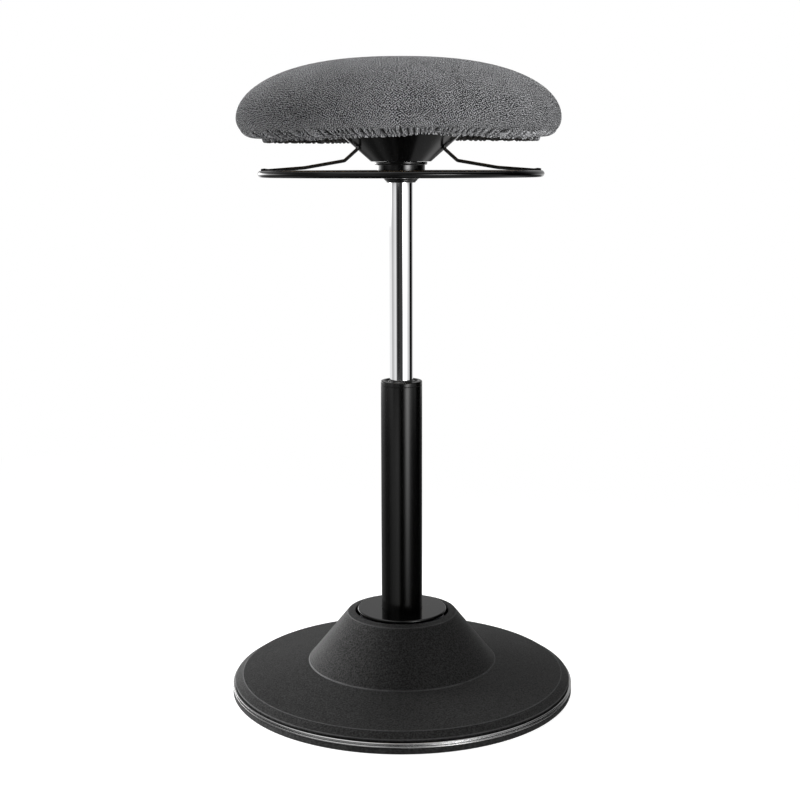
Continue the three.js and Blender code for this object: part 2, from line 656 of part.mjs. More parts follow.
function makeBracket() {
  const { sheet } = bracket;
  const [halfWidth, floorHalf, wallHalf] = [
    bracketHalf, hubRadius + bracket.floorMargin, wire.forward + bracket.axleMargin];
  const rise = bracketLow + bracket.wallRise;
  const sheetTop = bracketLow + sheet;
  const floor = block([-halfWidth, -floorHalf, bracketLow], [halfWidth, floorHalf, sheetTop]);
  const outline = [
    [-floorHalf, bracketLow], [floorHalf, bracketLow], [wallHalf, rise],
    [wallHalf, bracketTop], [-wallHalf, bracketTop], [-wallHalf, rise],
  ];
  const walls = [-halfWidth, halfWidth - sheet].map((from) => plateAlongX(outline, from, from + sheet));
  const flanges = [-1, 1].map((side) => {
    const near = side * (halfWidth - sheet);
    const far = side * (halfWidth + bracket.flangeOut);
    return block([Math.min(near, far), -wallHalf, bracketTop - sheet],
      [Math.max(near, far), wallHalf, bracketTop]);
  });
  const hubHole = rodBetween(hubRadius + seatGap, bracketLow - overrun, sheetTop + overrun, pivotFacets);
  const across = halfWidth + overrun;
  const axleHole = rodBetween(axleBush.radius + seatGap, -across, across, screwFacets)
    .rotateY(Math.PI / 2).translate(0, -wire.forward, axleHeight);
  const screwHoles = seatScrewPlaces.map((place) =>
    drill(seatScrew.shank + seatGap, bracketTop - sheet - overrun, bracketTop + overrun, place));
  addPiece('seat_bracket', cut(join(floor, ...walls, ...flanges), hubHole, axleHole, ...screwHoles), 'steel');
}

function makeAxleBushes() {
  const { sheet } = bracket;
  const bore = wire.radius + seatGap;
  const profile = [
    [bore, -sheet], [axleBush.radius, -sheet], [axleBush.radius, seatGap],
    [axleBush.flangeRadius, seatGap], [axleBush.flangeRadius, seatGap + axleBush.flangeThickness],
    [bore, seatGap + axleBush.flangeThickness],
  ];
  for (const [name, side] of [['axle_bush_left', -1], ['axle_bush_right', 1]]) {
    const shape = revolveRing(profile, screwFacets).rotateY(side * Math.PI / 2);
    addPiece(name, shape, 'guidePlastic', [side * bracketHalf, -wire.forward, axleHeight]);
  }
}

// The wire's centre line: corners rounded by bends, in the upright plane across the stool
function roundedRoute(corners, bends, steps) {
  const route = [corners[0]];
  for (let i = 1; i < corners.length - 1; i += 1) {
    const here = new THREE.Vector2(...corners[i]);
    const back = new THREE.Vector2(...corners[i - 1]).sub(here).normalize();
    const on = new THREE.Vector2(...corners[i + 1]).sub(here).normalize();
    const half = back.angleTo(on) / 2;
    const run = bends[i - 1] / Math.tan(half);
    const between = back.clone().add(on).normalize();
    const centre = here.clone().addScaledVector(between, bends[i - 1] / Math.sin(half));
    const start = here.clone().addScaledVector(back, run).sub(centre);
    const end = here.clone().addScaledVector(on, run).sub(centre);
    for (let k = 0; k <= steps; k += 1) {
      const turn = start.clone().lerp(end, k / steps).setLength(bends[i - 1]);
      route.push([centre.x + turn.x, centre.y + turn.y]);
    }
  }
  route.push(corners[corners.length - 1]);
  return route;
}

// A round wire along [x, z] points
function wireAlong(route, radius, sides) {
  const positions = [];
  const index = [];
  route.forEach(([x, z], i) => {
    const before = route[Math.max(i - 1, 0)];
    const after = route[Math.min(i + 1, route.length - 1)];
    const along = new THREE.Vector2(after[0] - before[0], after[1] - before[1]).normalize();
    for (let k = 0; k < sides; k += 1) {
      const angle = 2 * Math.PI * k / sides;
      const out = radius * Math.cos(angle);
      positions.push(x - along.y * out, radius * Math.sin(angle), z + along.x * out);
      if (i === 0) continue;
      const next = (k + 1) % sides;
      const [a, b] = [(i - 1) * sides + k, (i - 1) * sides + next];
      index.push(a, b, a + sides, b, b + sides, a + sides);
    }
  });
  const last = (route.length - 1) * sides;
  for (let k = 1; k < sides - 1; k += 1) {
    index.push(0, k + 1, k, last, last + k, last + k + 1);
  }
  const geometry = new THREE.BufferGeometry();
  geometry.setAttribute('position', new THREE.Float32BufferAttribute(positions, 3));
  geometry.setIndex(index);
  return geometry;
}

const ringRod = (radius) => revolveRing(
  arc(ring.radius, ringHeight, radius, 0, 360, 8).slice(0, -1), baseFacets);

function makeLever() {
  addPiece('release_ring', ringRod(ring.rodRadius), 'blackGloss');
  const weldOut = Math.sqrt(ring.radius ** 2 - wire.forward ** 2);
  const leg = [
    [waistOut + wire.shoulderOut, axleHeight], [waistOut, axleHeight - wire.waistDrop],
    [waistOut, axleHeight - wire.kneeDrop], [waistOut + wire.ankleOut, ringHeight + wire.ankleRise],
    [ring.radius - wire.midIn, ringHeight + wire.midRise], [weldOut, ringHeight + wire.endRise],
  ];
  const mirrored = leg.map(([x, z]) => [-x, z]).reverse();
  const { tightBend, slackBend } = wire;
  const legBends = [tightBend, tightBend, tightBend, tightBend, slackBend];
  const route = roundedRoute([...mirrored, ...leg], [...legBends.slice().reverse(), ...legBends], 3);
  const whole = wireAlong(route, wire.radius, 6).translate(0, -wire.forward, 0);
  addPiece('lever_wire', cut(whole, ringRod(ring.rodRadius + seatGap)), 'blackPaint');
}

// Tongue: an eye round the axle and an arm over the valve pin
function makeTongue() {
  const eye = wire.radius + seatGap;
  const outer = eye + tongue.eyeWall;
  const armTop = armLow + tongue.thickness;
  const [y, z] = [-wire.forward, axleHeight];
  const outline = [
    ...arc(y, z, outer, 0, 180, 4),
    [y - outer, armTop], [y - outer / 2, armLow], [tongue.reach, armLow], [tongue.reach, armTop],
    [y + tongue.heel, armTop],
  ];
  const hole = new THREE.Path();
  hole.absarc(y, z, eye, 0, 2 * Math.PI);
  const half = tongue.width / 2;
  addPiece('valve_tongue', plateAlongX(outline, -half, half, [hole]), 'steel');
}

// Seat plan: a superellipse, as shares of its two half sizes
function planShare(angle) {
  const power = 2 / seatPlanShare;
  const bent = (value) => Math.sign(value) * Math.abs(value) ** power;
  return [bent(Math.cos(angle)), bent(Math.sin(angle))];
}

const planAngle = (i) => 2 * Math.PI * i / seatFacets;

const planLoop = (inset) => Array.from({ length: seatFacets }, (_, i) => {
  const [across, along] = planShare(planAngle(i));
  return new THREE.Vector2((seat.halfWidth - inset) * across, (seat.halfDepth - inset) * along);
});

function makeBoard() {
  const shape = new THREE.Shape(planLoop(board.inset));
  const slab = new THREE.ExtrudeGeometry(shape, { depth: board.thickness, bevelEnabled: false })
    .translate(0, 0, boardLow);
  const barrels = seatScrewPlaces.map((place) =>
    drill(teeNut.barrelRadius + seatGap, boardLow - overrun, boardTop + overrun, place));
  const sinkLow = boardTop - teeNut.flangeHeight - seatGap;
  const flanges = seatScrewPlaces.map((place) =>
    drill(teeNut.flangeRadius + seatGap, sinkLow, boardTop + overrun, place));
  const pilots = coneScrewPlaces.map((place) =>
    drill(coneScrew.shank + seatGap, boardLow - overrun, coneTop + coneScrew.bite + seatGap, place));
  addPiece('seat_board', cut(slab, ...barrels, ...flanges, ...pilots), 'plywood');
}

function makeSeatScrews() {
  const nutTop = boardTop - seatGap;
  const barrelLow = boardLow + teeNut.lowRise;
  const bore = seatScrew.shank + seatGap;
  const nut = revolveRing([
    [bore, barrelLow], [teeNut.barrelRadius, barrelLow],
    [teeNut.barrelRadius, nutTop - teeNut.flangeHeight],
    [teeNut.flangeRadius, nutTop - teeNut.flangeHeight], [teeNut.flangeRadius, nutTop], [bore, nutTop],
  ], screwFacets);
  const headSeat = bracketTop - bracket.sheet - seatGap;
  const length = nutTop - headSeat;
  const bolt = screw(seatScrew.shank, length, seatScrew.headRadius, seatScrew.headHeight);
  seatScrewPlaces.forEach(([x, y], i) => {
    addPiece(`tee_nut_${i + 1}`, nut, 'steel', [x, y, 0]);
    addPiece(`seat_screw_${i + 1}`, bolt, 'steel', [x, y, headSeat]);
  });
}

// Section of the cushion, as rings of {inset, rise}: the crown from the top down to the widest
// ring, then the turn under it. skin is how far the surface lies inside the outermost one.
const widestHeight = boardLow + seat.widestAboveBoard;
const hemHeight = boardLow - seat.hemBelowBoard;

function cushionRings(skin) {
  const rings = [];
  for (let i = 1; i <= crownSteps; i += 1) {
    const angle = Math.PI / 2 * i / crownSteps;
    const outShare = Math.sin(angle) ** (2 / seatCrownWidthShare);
    const upShare = Math.cos(angle) ** (2 / seatCrownHeightShare);
    rings.push({ outShare, inset: skin, height: widestHeight + (seat.crown - skin) * upShare });
  }
  for (let i = 1; i <= underSteps; i += 1) {
    const angle = Math.PI / 2 * i / underSteps;
    const inset = seat.hemInset - (seat.hemInset - skin) * Math.cos(angle);
    const drop = (widestHeight - hemHeight - skin) * Math.sin(angle);
    rings.push({ outShare: 1, inset, height: widestHeight - drop });
  }
  return rings;
}

// Points of one ring; gather lifts and drops every other point, as a gathered hem does
function ringPoints({ outShare, inset, height }, gather = 0) {
  return Array.from({ length: seatFacets }, (_, i) => {
    const [across, along] = planShare(planAngle(i));
    const fold = i % 2 === 0 ? gather : -gather;
    const [x, y] = [(seat.halfWidth - inset) * across, (seat.halfDepth - inset) * along];
    return [x * outShare, y * outShare, height + fold];
  });
}

// A closed body from rings of points, with a pole or an open loop at each end
function skinOver(loops, topPole, lowPole) {
  const positions = loops.flat(2);
  const index = [];
  for (let i = 0; i < loops.length - 1; i += 1) {
    for (let k = 0; k < seatFacets; k += 1) {
      const next = (k + 1) % seatFacets;
      const [a, b] = [i * seatFacets + k, i * seatFacets + next];
      index.push(a, a + seatFacets, b, b, a + seatFacets, b + seatFacets);
    }
  }
  const poles = [[topPole, 0], [lowPole, (loops.length - 1) * seatFacets]];
  poles.forEach(([pole, first], end) => {
    const tip = positions.length / 3;
    positions.push(...pole);
    for (let k = 0; k < seatFacets; k += 1) {
      const [a, b] = [first + k, first + (k + 1) % seatFacets];
      index.push(...(end === 0 ? [a, b, tip] : [b, a, tip]));
    }
  });
  const geometry = new THREE.BufferGeometry();
  geometry.setAttribute('position', new THREE.Float32BufferAttribute(positions, 3));
  geometry.setIndex(index);
  return geometry;
}

function makeFoam() {
  const skin = fabric.thickness + runGap;
  const edgeHeight = boardLow - foamEdge.drop;
  const rings = cushionRings(skin).filter(({ height }) => height > edgeHeight);
  const lastRing = rings[rings.length - 1];
  const loops = rings.map((ring) => ringPoints(ring));
  loops.push(ringPoints({ outShare: 1, inset: Math.max(lastRing.inset, foamEdge.innerInset - seatGap),
    height: edgeHeight }));
  const body = skinOver(loops, [0, 0, widestHeight + seat.crown - skin], [0, 0, edgeHeight]);
  const shape = new THREE.Shape(planLoop(board.inset - runGap));
  const recess = new THREE.ExtrudeGeometry(shape, { depth: board.thickness + runGap + overrun + foamEdge.drop,
    bevelEnabled: false }).translate(0, 0, edgeHeight - overrun);
  addPiece('seat_foam', cut(body, recess), 'foam');
}

function makeSeatCover() {
  const gathers = (count, i) => (i === count - 1 ? fabric.gatherDepth : 0);
  const outer = cushionRings(0);
  const inner = cushionRings(fabric.thickness);
  const loops = [
    ...outer.map((ring, i) => ringPoints(ring, gathers(outer.length, i))),
    ...inner.map((ring, i) => ringPoints(ring, gathers(inner.length, i))).reverse(),
  ];
  const top = widestHeight + seat.crown;
  addPiece('seat_cover', skinOver(loops, [0, 0, top], [0, 0, top - fabric.thickness]), 'knit');
}

// Elastic: a round cord in the hem, just inside its free edge
function makeElastic() {
  const height = hemHeight + fabric.thickness + fabric.gatherDepth + elastic.radius + seatGap;
  const inset = seat.hemInset - elastic.radius;
  const sides = 4;
  const positions = [];
  const index = [];
  for (let i = 0; i < seatFacets; i += 1) {
    const [across, along] = planShare(planAngle(i));
    for (let k = 0; k < sides; k += 1) {
      const angle = 2 * Math.PI * k / sides;
      const out = inset - elastic.radius * Math.cos(angle);
      positions.push((seat.halfWidth - out) * across, (seat.halfDepth - out) * along,
        height + elastic.radius * Math.sin(angle));
      const next = (k + 1) % sides;
      const [a, b] = [i * sides + k, i * sides + next];
      const onward = (i + 1) % seatFacets * sides;
      index.push(a, onward + k, b, b, onward + k, onward + next);
    }
  }
  const geometry = new THREE.BufferGeometry();
  geometry.setAttribute('position', new THREE.Float32BufferAttribute(positions, 3));
  geometry.setIndex(index);
  addPiece('hem_elastic', geometry, 'rubber');
}

makePad();
makeTrim();
makeBallast();
makeBaseCover();
makeHousing();
makeRetainer();
makeBuffer();
makeBush();
makeSleeve();
makeTopPlate();
makeOuterTube();
makeGuide();
makeBearing();
makeRod();
makePressureTube();
makeDustRing();
makeHub();
makeConeCover();
makeBracket();
makeAxleBushes();
makeLever();
makeTongue();
makeBoard();
makeSeatScrews();
makeFoam();
makeSeatCover();
makeElastic();

// Every piece is left as one welded closed surface
for (const mesh of stool.children) {
  mesh.geometry = welded(mesh.geometry);
}

export default stool;
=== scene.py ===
"""Wobble stool: the looks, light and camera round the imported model.

Pieces are drawn in millimetres in the row frame, and the builders turn them into metres. Materials,
lamps and the camera are in metres, and the levels of the world and the floor have 1 for white.
"""

import json
import math

import bmesh
import bpy
import numpy as np
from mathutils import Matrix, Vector


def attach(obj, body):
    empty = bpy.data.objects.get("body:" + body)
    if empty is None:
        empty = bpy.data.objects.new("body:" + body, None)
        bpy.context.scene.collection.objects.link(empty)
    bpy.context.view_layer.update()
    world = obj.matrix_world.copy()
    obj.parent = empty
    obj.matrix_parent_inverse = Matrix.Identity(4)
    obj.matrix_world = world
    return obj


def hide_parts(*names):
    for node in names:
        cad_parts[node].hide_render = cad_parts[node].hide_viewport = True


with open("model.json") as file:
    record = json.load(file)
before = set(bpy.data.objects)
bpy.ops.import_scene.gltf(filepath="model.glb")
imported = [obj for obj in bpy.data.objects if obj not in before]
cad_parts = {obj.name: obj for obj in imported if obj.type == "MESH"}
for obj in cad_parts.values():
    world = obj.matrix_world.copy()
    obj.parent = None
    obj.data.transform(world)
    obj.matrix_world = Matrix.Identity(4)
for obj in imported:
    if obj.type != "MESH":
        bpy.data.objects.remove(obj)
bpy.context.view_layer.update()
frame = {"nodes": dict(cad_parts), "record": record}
scene = bpy.context.scene
MM = 0.001


# Outlines and meshes

def unit(v):
    return v / np.linalg.norm(v)


def turns(count):
    """Even angles round one full turn."""
    return np.arange(count) * 2 * math.pi / count


def rounded(corners, closed=True, step=12):
    """The outline through corners (across, up, rounding), with an arc of that radius at each.

    An arc has a point at least every step degrees, takes less than half of the shorter run beside
    it, and has one more point on either side that holds its bend off the straight runs."""
    hold, least_hold = 0.5, 0.1
    outline = []
    for i, corner in enumerate(corners):
        here = np.array(corner[:2], float)
        radius = corner[2] if len(corner) > 2 else 0
        if not radius or (not closed and i in (0, len(corners) - 1)):
            outline.append(here)
            continue
        back = np.array(corners[i - 1][:2], float) - here
        ahead = np.array(corners[(i + 1) % len(corners)][:2], float) - here
        shorter = min(np.linalg.norm(back), np.linalg.norm(ahead))
        back, ahead = unit(back), unit(ahead)
        half = math.acos(max(-1, min(1, back @ ahead))) / 2
        reach = min(radius / math.tan(half), 0.49 * shorter)
        radius = reach * math.tan(half)
        middle = here + unit(back + ahead) * radius / math.sin(half)
        first, last = here + back * reach - middle, here + ahead * reach - middle
        begin = math.atan2(first[1], first[0])
        turn = (math.atan2(last[1], last[0]) - begin + math.pi) % (2 * math.pi) - math.pi
        count = max(2, math.ceil(abs(math.degrees(turn)) / step))
        angles = [begin + turn * k / count for k in range(count + 1)]
        arc = [middle + radius * np.array([math.cos(a), math.sin(a)]) for a in angles]
        beyond = min(hold, 0.8 * (shorter / 2 - reach))
        if beyond > least_hold:
            arc = [here + back * (reach + beyond), *arc, here + ahead * (reach + beyond)]
        outline += arc
    return outline


def beside(corners, wall):
    """The corners of an open outline moved sideways by wall, to the left of the way they run."""
    points = [np.array(c[:2], float) for c in corners]
    moved = []
    for i, here in enumerate(points):
        ways = [unit(points[j + 1] - points[j]) for j in (i - 1, i) if 0 <= j < len(points) - 1]
        sides = [np.array([-w[1], w[0]]) for w in ways]
        side = unit(sum(sides))
        moved.append(here + side * wall / (side @ sides[0]))
    return moved


def settled(name, bm, sharp=35, weighted=True):
    """A smooth-shaded object made of bm, with its flat faces left flat."""
    bmesh.ops.recalc_face_normals(bm, faces=bm.faces)
    mesh = bpy.data.meshes.new(name)
    bm.to_mesh(mesh)
    bm.free()
    mesh.shade_smooth()
    mesh.set_sharp_from_angle(angle=math.radians(sharp))
    piece = bpy.data.objects.new(name, mesh)
    scene.collection.objects.link(piece)
    if weighted:
        even = piece.modifiers.new("even_normals", "WEIGHTED_NORMAL")
        even.keep_sharp = True
    return piece


def lofted(bm, rings, closed_up=True):
    """Faces between rings of points, where one may have a whole number of times the other's.

    A ring of one point is a pole. The rings' vertices are returned."""
    made = [[bm.verts.new([c * MM for c in p]) for p in ring] for ring in rings]
    for low, high in zip(made, made[1:] + made[:1] if closed_up else made[1:]):
        few, many = sorted((low, high), key=len)
        each = len(many) // len(few)
        if len(many) == 1:
            continue
        if len(few) == 1:
            for k in range(len(many)):
                bm.faces.new([few[0], many[k - 1], many[k]])
            continue
        for k in range(len(few)):
            side = [many[(each * k + i) % len(many)] for i in range(each, -1, -1)]
            bm.faces.new([few[k], few[(k + 1) % len(few)], *side])
    return made


def ring_points(radius, height, segments):
    """One ring round the upright axis, which is a pole where it lies on the axis."""
    if radius < 1e-6:
        return [(0, 0, height)]
    return [(radius * math.cos(t), radius * math.sin(t), height) for t in turns(segments)]


def turned(name, corners, segments=128, step=12, sharp=35):
    """A piece turned about the upright axis from corners (radius, height, rounding)."""
    bm = bmesh.new()
    lofted(bm, [ring_points(r, z, segments) for r, z in rounded(corners, step=step)])
    return settled(name, bm, sharp)


def finished(piece, body, slot, replaced, look=None):
    """Dresses a new piece, hangs it on its body and hides the CAD node that it takes the place of."""
    piece.data.materials.append(MATERIALS[look or slot])
    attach(piece, body)
    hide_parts(replaced)


# Shader nodes

def node(tree, kind, inputs=None, **settings):
    """A new node with settings for its properties, and a value or a link for each input."""
    made = tree.nodes.new("ShaderNode" + kind)
    for key, value in settings.items():
        setattr(made, key, value)
    for key, value in (inputs or {}).items():
        if isinstance(value, bpy.types.NodeSocket):
            tree.links.new(value, made.inputs[key])
        else:
            made.inputs[key].default_value = value
    return made


def fresh(name, **sockets):
    """A new material: (material, its node tree, its Principled shader)."""
    material = bpy.data.materials.new(name)
    material.use_nodes = True
    tree = material.node_tree
    shader = tree.nodes["Principled BSDF"]
    for key, value in sockets.items():
        shader.inputs[key.replace("_", " ")].default_value = value
    return material, tree, shader


def place(tree):
    return node(tree, "TexCoord").outputs["Object"]


def parts(tree, vector):
    """The X, Y and Z outputs of a vector."""
    return node(tree, "SeparateXYZ", {"Vector": vector}).outputs


def noise(tree, where, scale, detail=3, rough=0.55):
    made = node(tree, "TexNoise", {"Vector": where, "Scale": scale, "Detail": detail,
                                   "Roughness": rough}, noise_dimensions="3D")
    return made.outputs["Fac"]


def math_node(tree, operation, a, b=0.0, c=0.0):
    return node(tree, "Math", {0: a, 1: b, 2: c}, operation=operation).outputs[0]


def product(tree, first, *others):
    for other in others:
        first = math_node(tree, "MULTIPLY", first, other)
    return first


def weighed(tree, one, one_share, other, other_share):
    """The sum of two values, each times its share."""
    return math_node(tree, "ADD", product(tree, one, one_share), product(tree, other, other_share))


def vector_node(tree, operation, inputs):
    return node(tree, "VectorMath", inputs, operation=operation).outputs[0]


def spread(tree, value, low, high, start=0.3, end=0.7):
    """value from start..end moved to low..high."""
    return node(tree, "MapRange", {"Value": value, "From Min": start, "From Max": end,
                                   "To Min": low, "To Max": high}).outputs["Result"]


def mixed(tree, share, low, high, kind="FLOAT"):
    """From low to high by a share."""
    return node(tree, "Mix", {"Factor": share, "A": low, "B": high}, data_type=kind).outputs["Result"]


def between(tree, share, dark, light):
    """A colour from dark to light by a share, where each is a plain colour or a node's output."""
    ends = [c if isinstance(c, bpy.types.NodeSocket) else (*c, 1) for c in (dark, light)]
    return mixed(tree, share, *ends, "RGBA")


def grey(value, blue=1.0):
    return (value, value, value * blue)


def bumped(tree, shader, height, depth):
    made = node(tree, "Bump", {"Height": height, "Distance": depth, "Strength": 1.0})
    tree.links.new(made.outputs["Normal"], shader.inputs["Normal"])


# Materials

def painted_edge_highlights(tree, where, colour, edges):
    """colour with a painted highlight: a paler line round a turned piece at each of its edges (radius,
    width, how much).
    """
    # The paler colour of the painted highlight
    highlight_colour = (0.11, 0.11, 0.112)
    axes = parts(tree, where)
    flat = node(tree, "CombineXYZ", {"X": axes["X"], "Y": axes["Y"]}).outputs[0]
    radius = node(tree, "VectorMath", {0: flat}, operation="LENGTH").outputs["Value"]
    highlight = 0.0
    for edge, width, much in edges:
        off = math_node(tree, "ABSOLUTE", math_node(tree, "SUBTRACT", radius, edge * MM))
        here = spread(tree, off, much, 0, 0.2 * width * MM, width * MM)
        highlight = math_node(tree, "MAXIMUM", highlight, here)
    patchy = spread(tree, noise(tree, where, 45, 3, 0.7), 0.55, 1.0)
    return between(tree, product(tree, highlight, patchy), colour, highlight_colour)


def moulded(name, dark, light, roughness, grain, depth, specular=0.5, edges=()):
    """Moulded plastic or rubber: a fine grain and soft marks of handling, and a painted highlight along
    any edges given.
    """
    material, tree, shader = fresh(name, Specular_IOR_Level=specular)
    where = place(tree)
    fine = noise(tree, where, 1 / grain, 1, 0.5)
    soft = noise(tree, where, 9, 4, 0.6)
    tone = weighed(tree, fine, 0.8, soft, 0.2)
    colour = between(tree, spread(tree, tone, 0, 1, 0.36, 0.64), dark, light)
    # A painted highlight along the given edges
    if edges:
        colour = painted_edge_highlights(tree, where, colour, edges)
    tree.links.new(colour, shader.inputs["Base Color"])
    tree.links.new(spread(tree, soft, *roughness), shader.inputs["Roughness"])
    bumped(tree, shader, fine, depth)
    return material


def lacquered(name, dark, light, roughness, ripple):
    """A glossy or satin black surface with fine handling marks and a faint ripple."""
    material, tree, shader = fresh(name)
    where = place(tree)
    soft = noise(tree, where, 14, 4, 0.6)
    marks = noise(tree, where, 210, 3, 0.7)
    colour = between(tree, spread(tree, soft, 0, 1), dark, light)
    handled = weighed(tree, soft, 0.6, marks, 0.4)
    tree.links.new(colour, shader.inputs["Base Color"])
    tree.links.new(spread(tree, handled, *roughness, 0.38, 0.62), shader.inputs["Roughness"])
    bumped(tree, shader, marks, ripple)
    return material


def metal(name, dark, light, roughness, stretch, depth):
    """Bare metal with marks drawn out along one way."""
    material, tree, shader = fresh(name, Metallic=1.0)
    long_way = node(tree, "Mapping", {"Vector": place(tree), "Scale": stretch}).outputs["Vector"]
    lines = noise(tree, long_way, 1, 4, 0.65)
    soft = noise(tree, place(tree), 30, 3, 0.6)
    colour = between(tree, spread(tree, soft, 0, 1), dark, light)
    tree.links.new(colour, shader.inputs["Base Color"])
    tree.links.new(spread(tree, lines, *roughness, 0.36, 0.64), shader.inputs["Roughness"])
    bumped(tree, shader, lines, depth)
    return material


def plied():
    """Birch plywood: long grain on the faces, thin layers on the edge."""
    material, tree, shader = fresh("plywood", Roughness=0.6)
    layer_height, flat_from = 0.0015, 0.7
    where = place(tree)
    long_way = node(tree, "Mapping", {"Vector": where, "Scale": (14, 160, 40)}).outputs["Vector"]
    grain = noise(tree, long_way, 1, 5, 0.6)
    layer = math_node(tree, "PINGPONG", parts(tree, where)["Z"], layer_height)
    layered = spread(tree, layer, 0, 1, 0.0004, 0.0011)
    face = between(tree, spread(tree, grain, 0, 1), (0.50, 0.33, 0.16), (0.68, 0.50, 0.29))
    edge = between(tree, layered, (0.26, 0.15, 0.07), (0.62, 0.45, 0.26))
    up = parts(tree, node(tree, "NewGeometry").outputs["Normal"])["Z"]
    flat = math_node(tree, "GREATER_THAN", math_node(tree, "ABSOLUTE", up), flat_from)
    tree.links.new(between(tree, flat, edge, face), shader.inputs["Base Color"])
    bumped(tree, shader, grain, 0.0002)
    return material


def celled():
    """Moulded foam: round open cells under a thin skin."""
    material, tree, shader = fresh("foam", Roughness=0.95, Specular_IOR_Level=0.2)
    where = place(tree)
    cells = node(tree, "TexVoronoi", {"Vector": where, "Scale": 420.0}).outputs["Distance"]
    soft = noise(tree, where, 18, 4, 0.6)
    tone = weighed(tree, cells, 0.5, soft, 0.5)
    colour = between(tree, spread(tree, tone, 0, 1), (0.55, 0.49, 0.30), (0.78, 0.72, 0.50))
    tree.links.new(colour, shader.inputs["Base Color"])
    bumped(tree, shader, cells, 0.0008)
    return material


# The second attribute carries the knit's painted shade and painted highlights
CLOTH_MAP, FOLD_PAINTED_SHADE = "flat_cloth", "fold_shade"


def knitted():
    """Heathered crepe knit: short slanting stitches that change their slant from patch to patch.

    It lies in the cloth's own flat coordinates. The second attribute holds in X the painted shade and
    painted highlights of the folds and the painted shade of the cloth's inner side, and in Y how calm
    the cloth is, which is where the folds pull the stitches flat."""
    stitch, drift_size = 0.0033, 0.0015
    black, white = (0.0014, 0.0014, 0.002), (0.346, 0.349, 0.358)
    darkest, lightest, calm_tone = 0.465, 0.625, 0.52
    material, tree, shader = fresh("knit", Roughness=0.9, Specular_IOR_Level=0.1,
                                   Sheen_Weight=0.06, Sheen_Roughness=0.5)
    flat = node(tree, "Attribute", attribute_name=CLOTH_MAP).outputs["Vector"]
    drift = node(tree, "TexNoise", {"Vector": flat, "Scale": 330.0, "Detail": 1.0},
                 noise_dimensions="3D").outputs["Color"]
    drift = vector_node(tree, "SUBTRACT", {0: drift, 1: (0.5, 0.5, 0.5)})
    drift = vector_node(tree, "SCALE", {0: drift, "Scale": drift_size})
    axes = parts(tree, vector_node(tree, "ADD", {0: flat, 1: drift}))
    slants = []
    for way in ("ADD", "SUBTRACT"):
        along = math_node(tree, way, axes["X"], axes["Y"])
        slants.append(math_node(tree, "SINE", product(tree, along, 2 * math.pi / stitch)))
    side = spread(tree, noise(tree, flat, 250, 1), 0, 1, 0.46, 0.54)
    strokes = math_node(tree, "MULTIPLY_ADD", mixed(tree, side, *slants), 0.5, 0.5)
    flecks = spread(tree, noise(tree, flat, 920, 0, 0.5), 0, 1, 0.40, 0.60)
    height = weighed(tree, strokes, 0.5, flecks, 0.5)
    soft = math_node(tree, "MULTIPLY_ADD", noise(tree, flat, 26, 3, 0.6), 0.16, -0.08)
    shade = parts(tree, node(tree, "Attribute", attribute_name=FOLD_PAINTED_SHADE).outputs["Vector"])
    tone = mixed(tree, shade["Y"], math_node(tree, "ADD", height, soft), calm_tone)
    colour = between(tree, spread(tree, tone, 0, 1, darkest, lightest), black, white)
    # Painted shade and highlight: the colour times the painted factor in X
    colour = vector_node(tree, "SCALE", {0: colour, "Scale": shade["X"]})
    tree.links.new(colour, shader.inputs["Base Color"])
    bumped(tree, shader, height, math_node(tree, "MULTIPLY_ADD", shade["Y"], -0.0006, 0.0008))
    return material


# The edges of the base cover along which a paler line is painted as a highlight: (radius, width, how
# much)
COVER_HIGHLIGHT_EDGES = ((67.2, 0.9, 0.5), (115.7, 1.0, 0.6), (197.6, 0.9, 0.6), (207.2, 0.7, 0.7))

MATERIALS = {
    "rubber": moulded("rubber", grey(0.022), grey(0.044), (0.62, 0.80), 0.0030, 0.00010, 0.15),
    "bright_trim": metal("bright_trim", grey(0.54), grey(0.62), (0.11, 0.15), (30, 30, 30), 0.000001),
    "steel": metal("steel", (0.42, 0.43, 0.45), (0.60, 0.61, 0.62), (0.30, 0.50),
                   (260, 260, 40), 0.00006),
    "moulded_black": moulded("moulded_black", grey(0.010), grey(0.034), (0.50, 0.62),
                             0.0017, 0.00022, 0.10, COVER_HIGHLIGHT_EDGES),
    "satin_black": moulded("satin_black", grey(0.0008), grey(0.0018), (0.12, 0.17),
                           0.0030, 0.00001, 0.5),
    "gloss_black": lacquered("gloss_black", grey(0.0008), grey(0.0018), (0.06, 0.10), 0.000003),
    "painted_black": lacquered("painted_black", grey(0.0010), grey(0.0022), (0.14, 0.18), 0.000004),
    "chrome": metal("chrome", grey(0.88, 1.01), grey(0.92, 1.01), (0.03, 0.05),
                    (60, 60, 4), 0.0000006),
    "guide_plastic": lacquered("guide_plastic", grey(0.0014), grey(0.0028), (0.15, 0.21), 0.000006),
    "plywood": plied(),
    "foam": celled(),
    "knit": knitted(),
}


# CAD nodes keep their shapes and take these finishes
for entry in frame["record"]["subparts"]:
    carried = frame["nodes"][entry["node"]]
    carried.data.materials.clear()
    carried.data.materials.append(MATERIALS[entry["material_slot"]])


# Base

def make_base_pad():
    """Rubber pad that stands on a broad rim."""
    radius, stands_from, hollow = 210.1, 162.6, 1.2
    lip, top, rest = 206.2, 6.9, 6.6
    pad = turned("base_pad_turned", [
        (0, hollow), (stands_from, hollow, 0.6), (stands_from, 0, 0.5),
        (radius - 1.7, 0, 0.9), (radius, 1.6, 1.2), (radius, top, 0.7),
        (lip, top, 0.3), (lip, rest, 0.2), (0, rest)], 192)
    finished(pad, "base", "rubber", "base_pad")


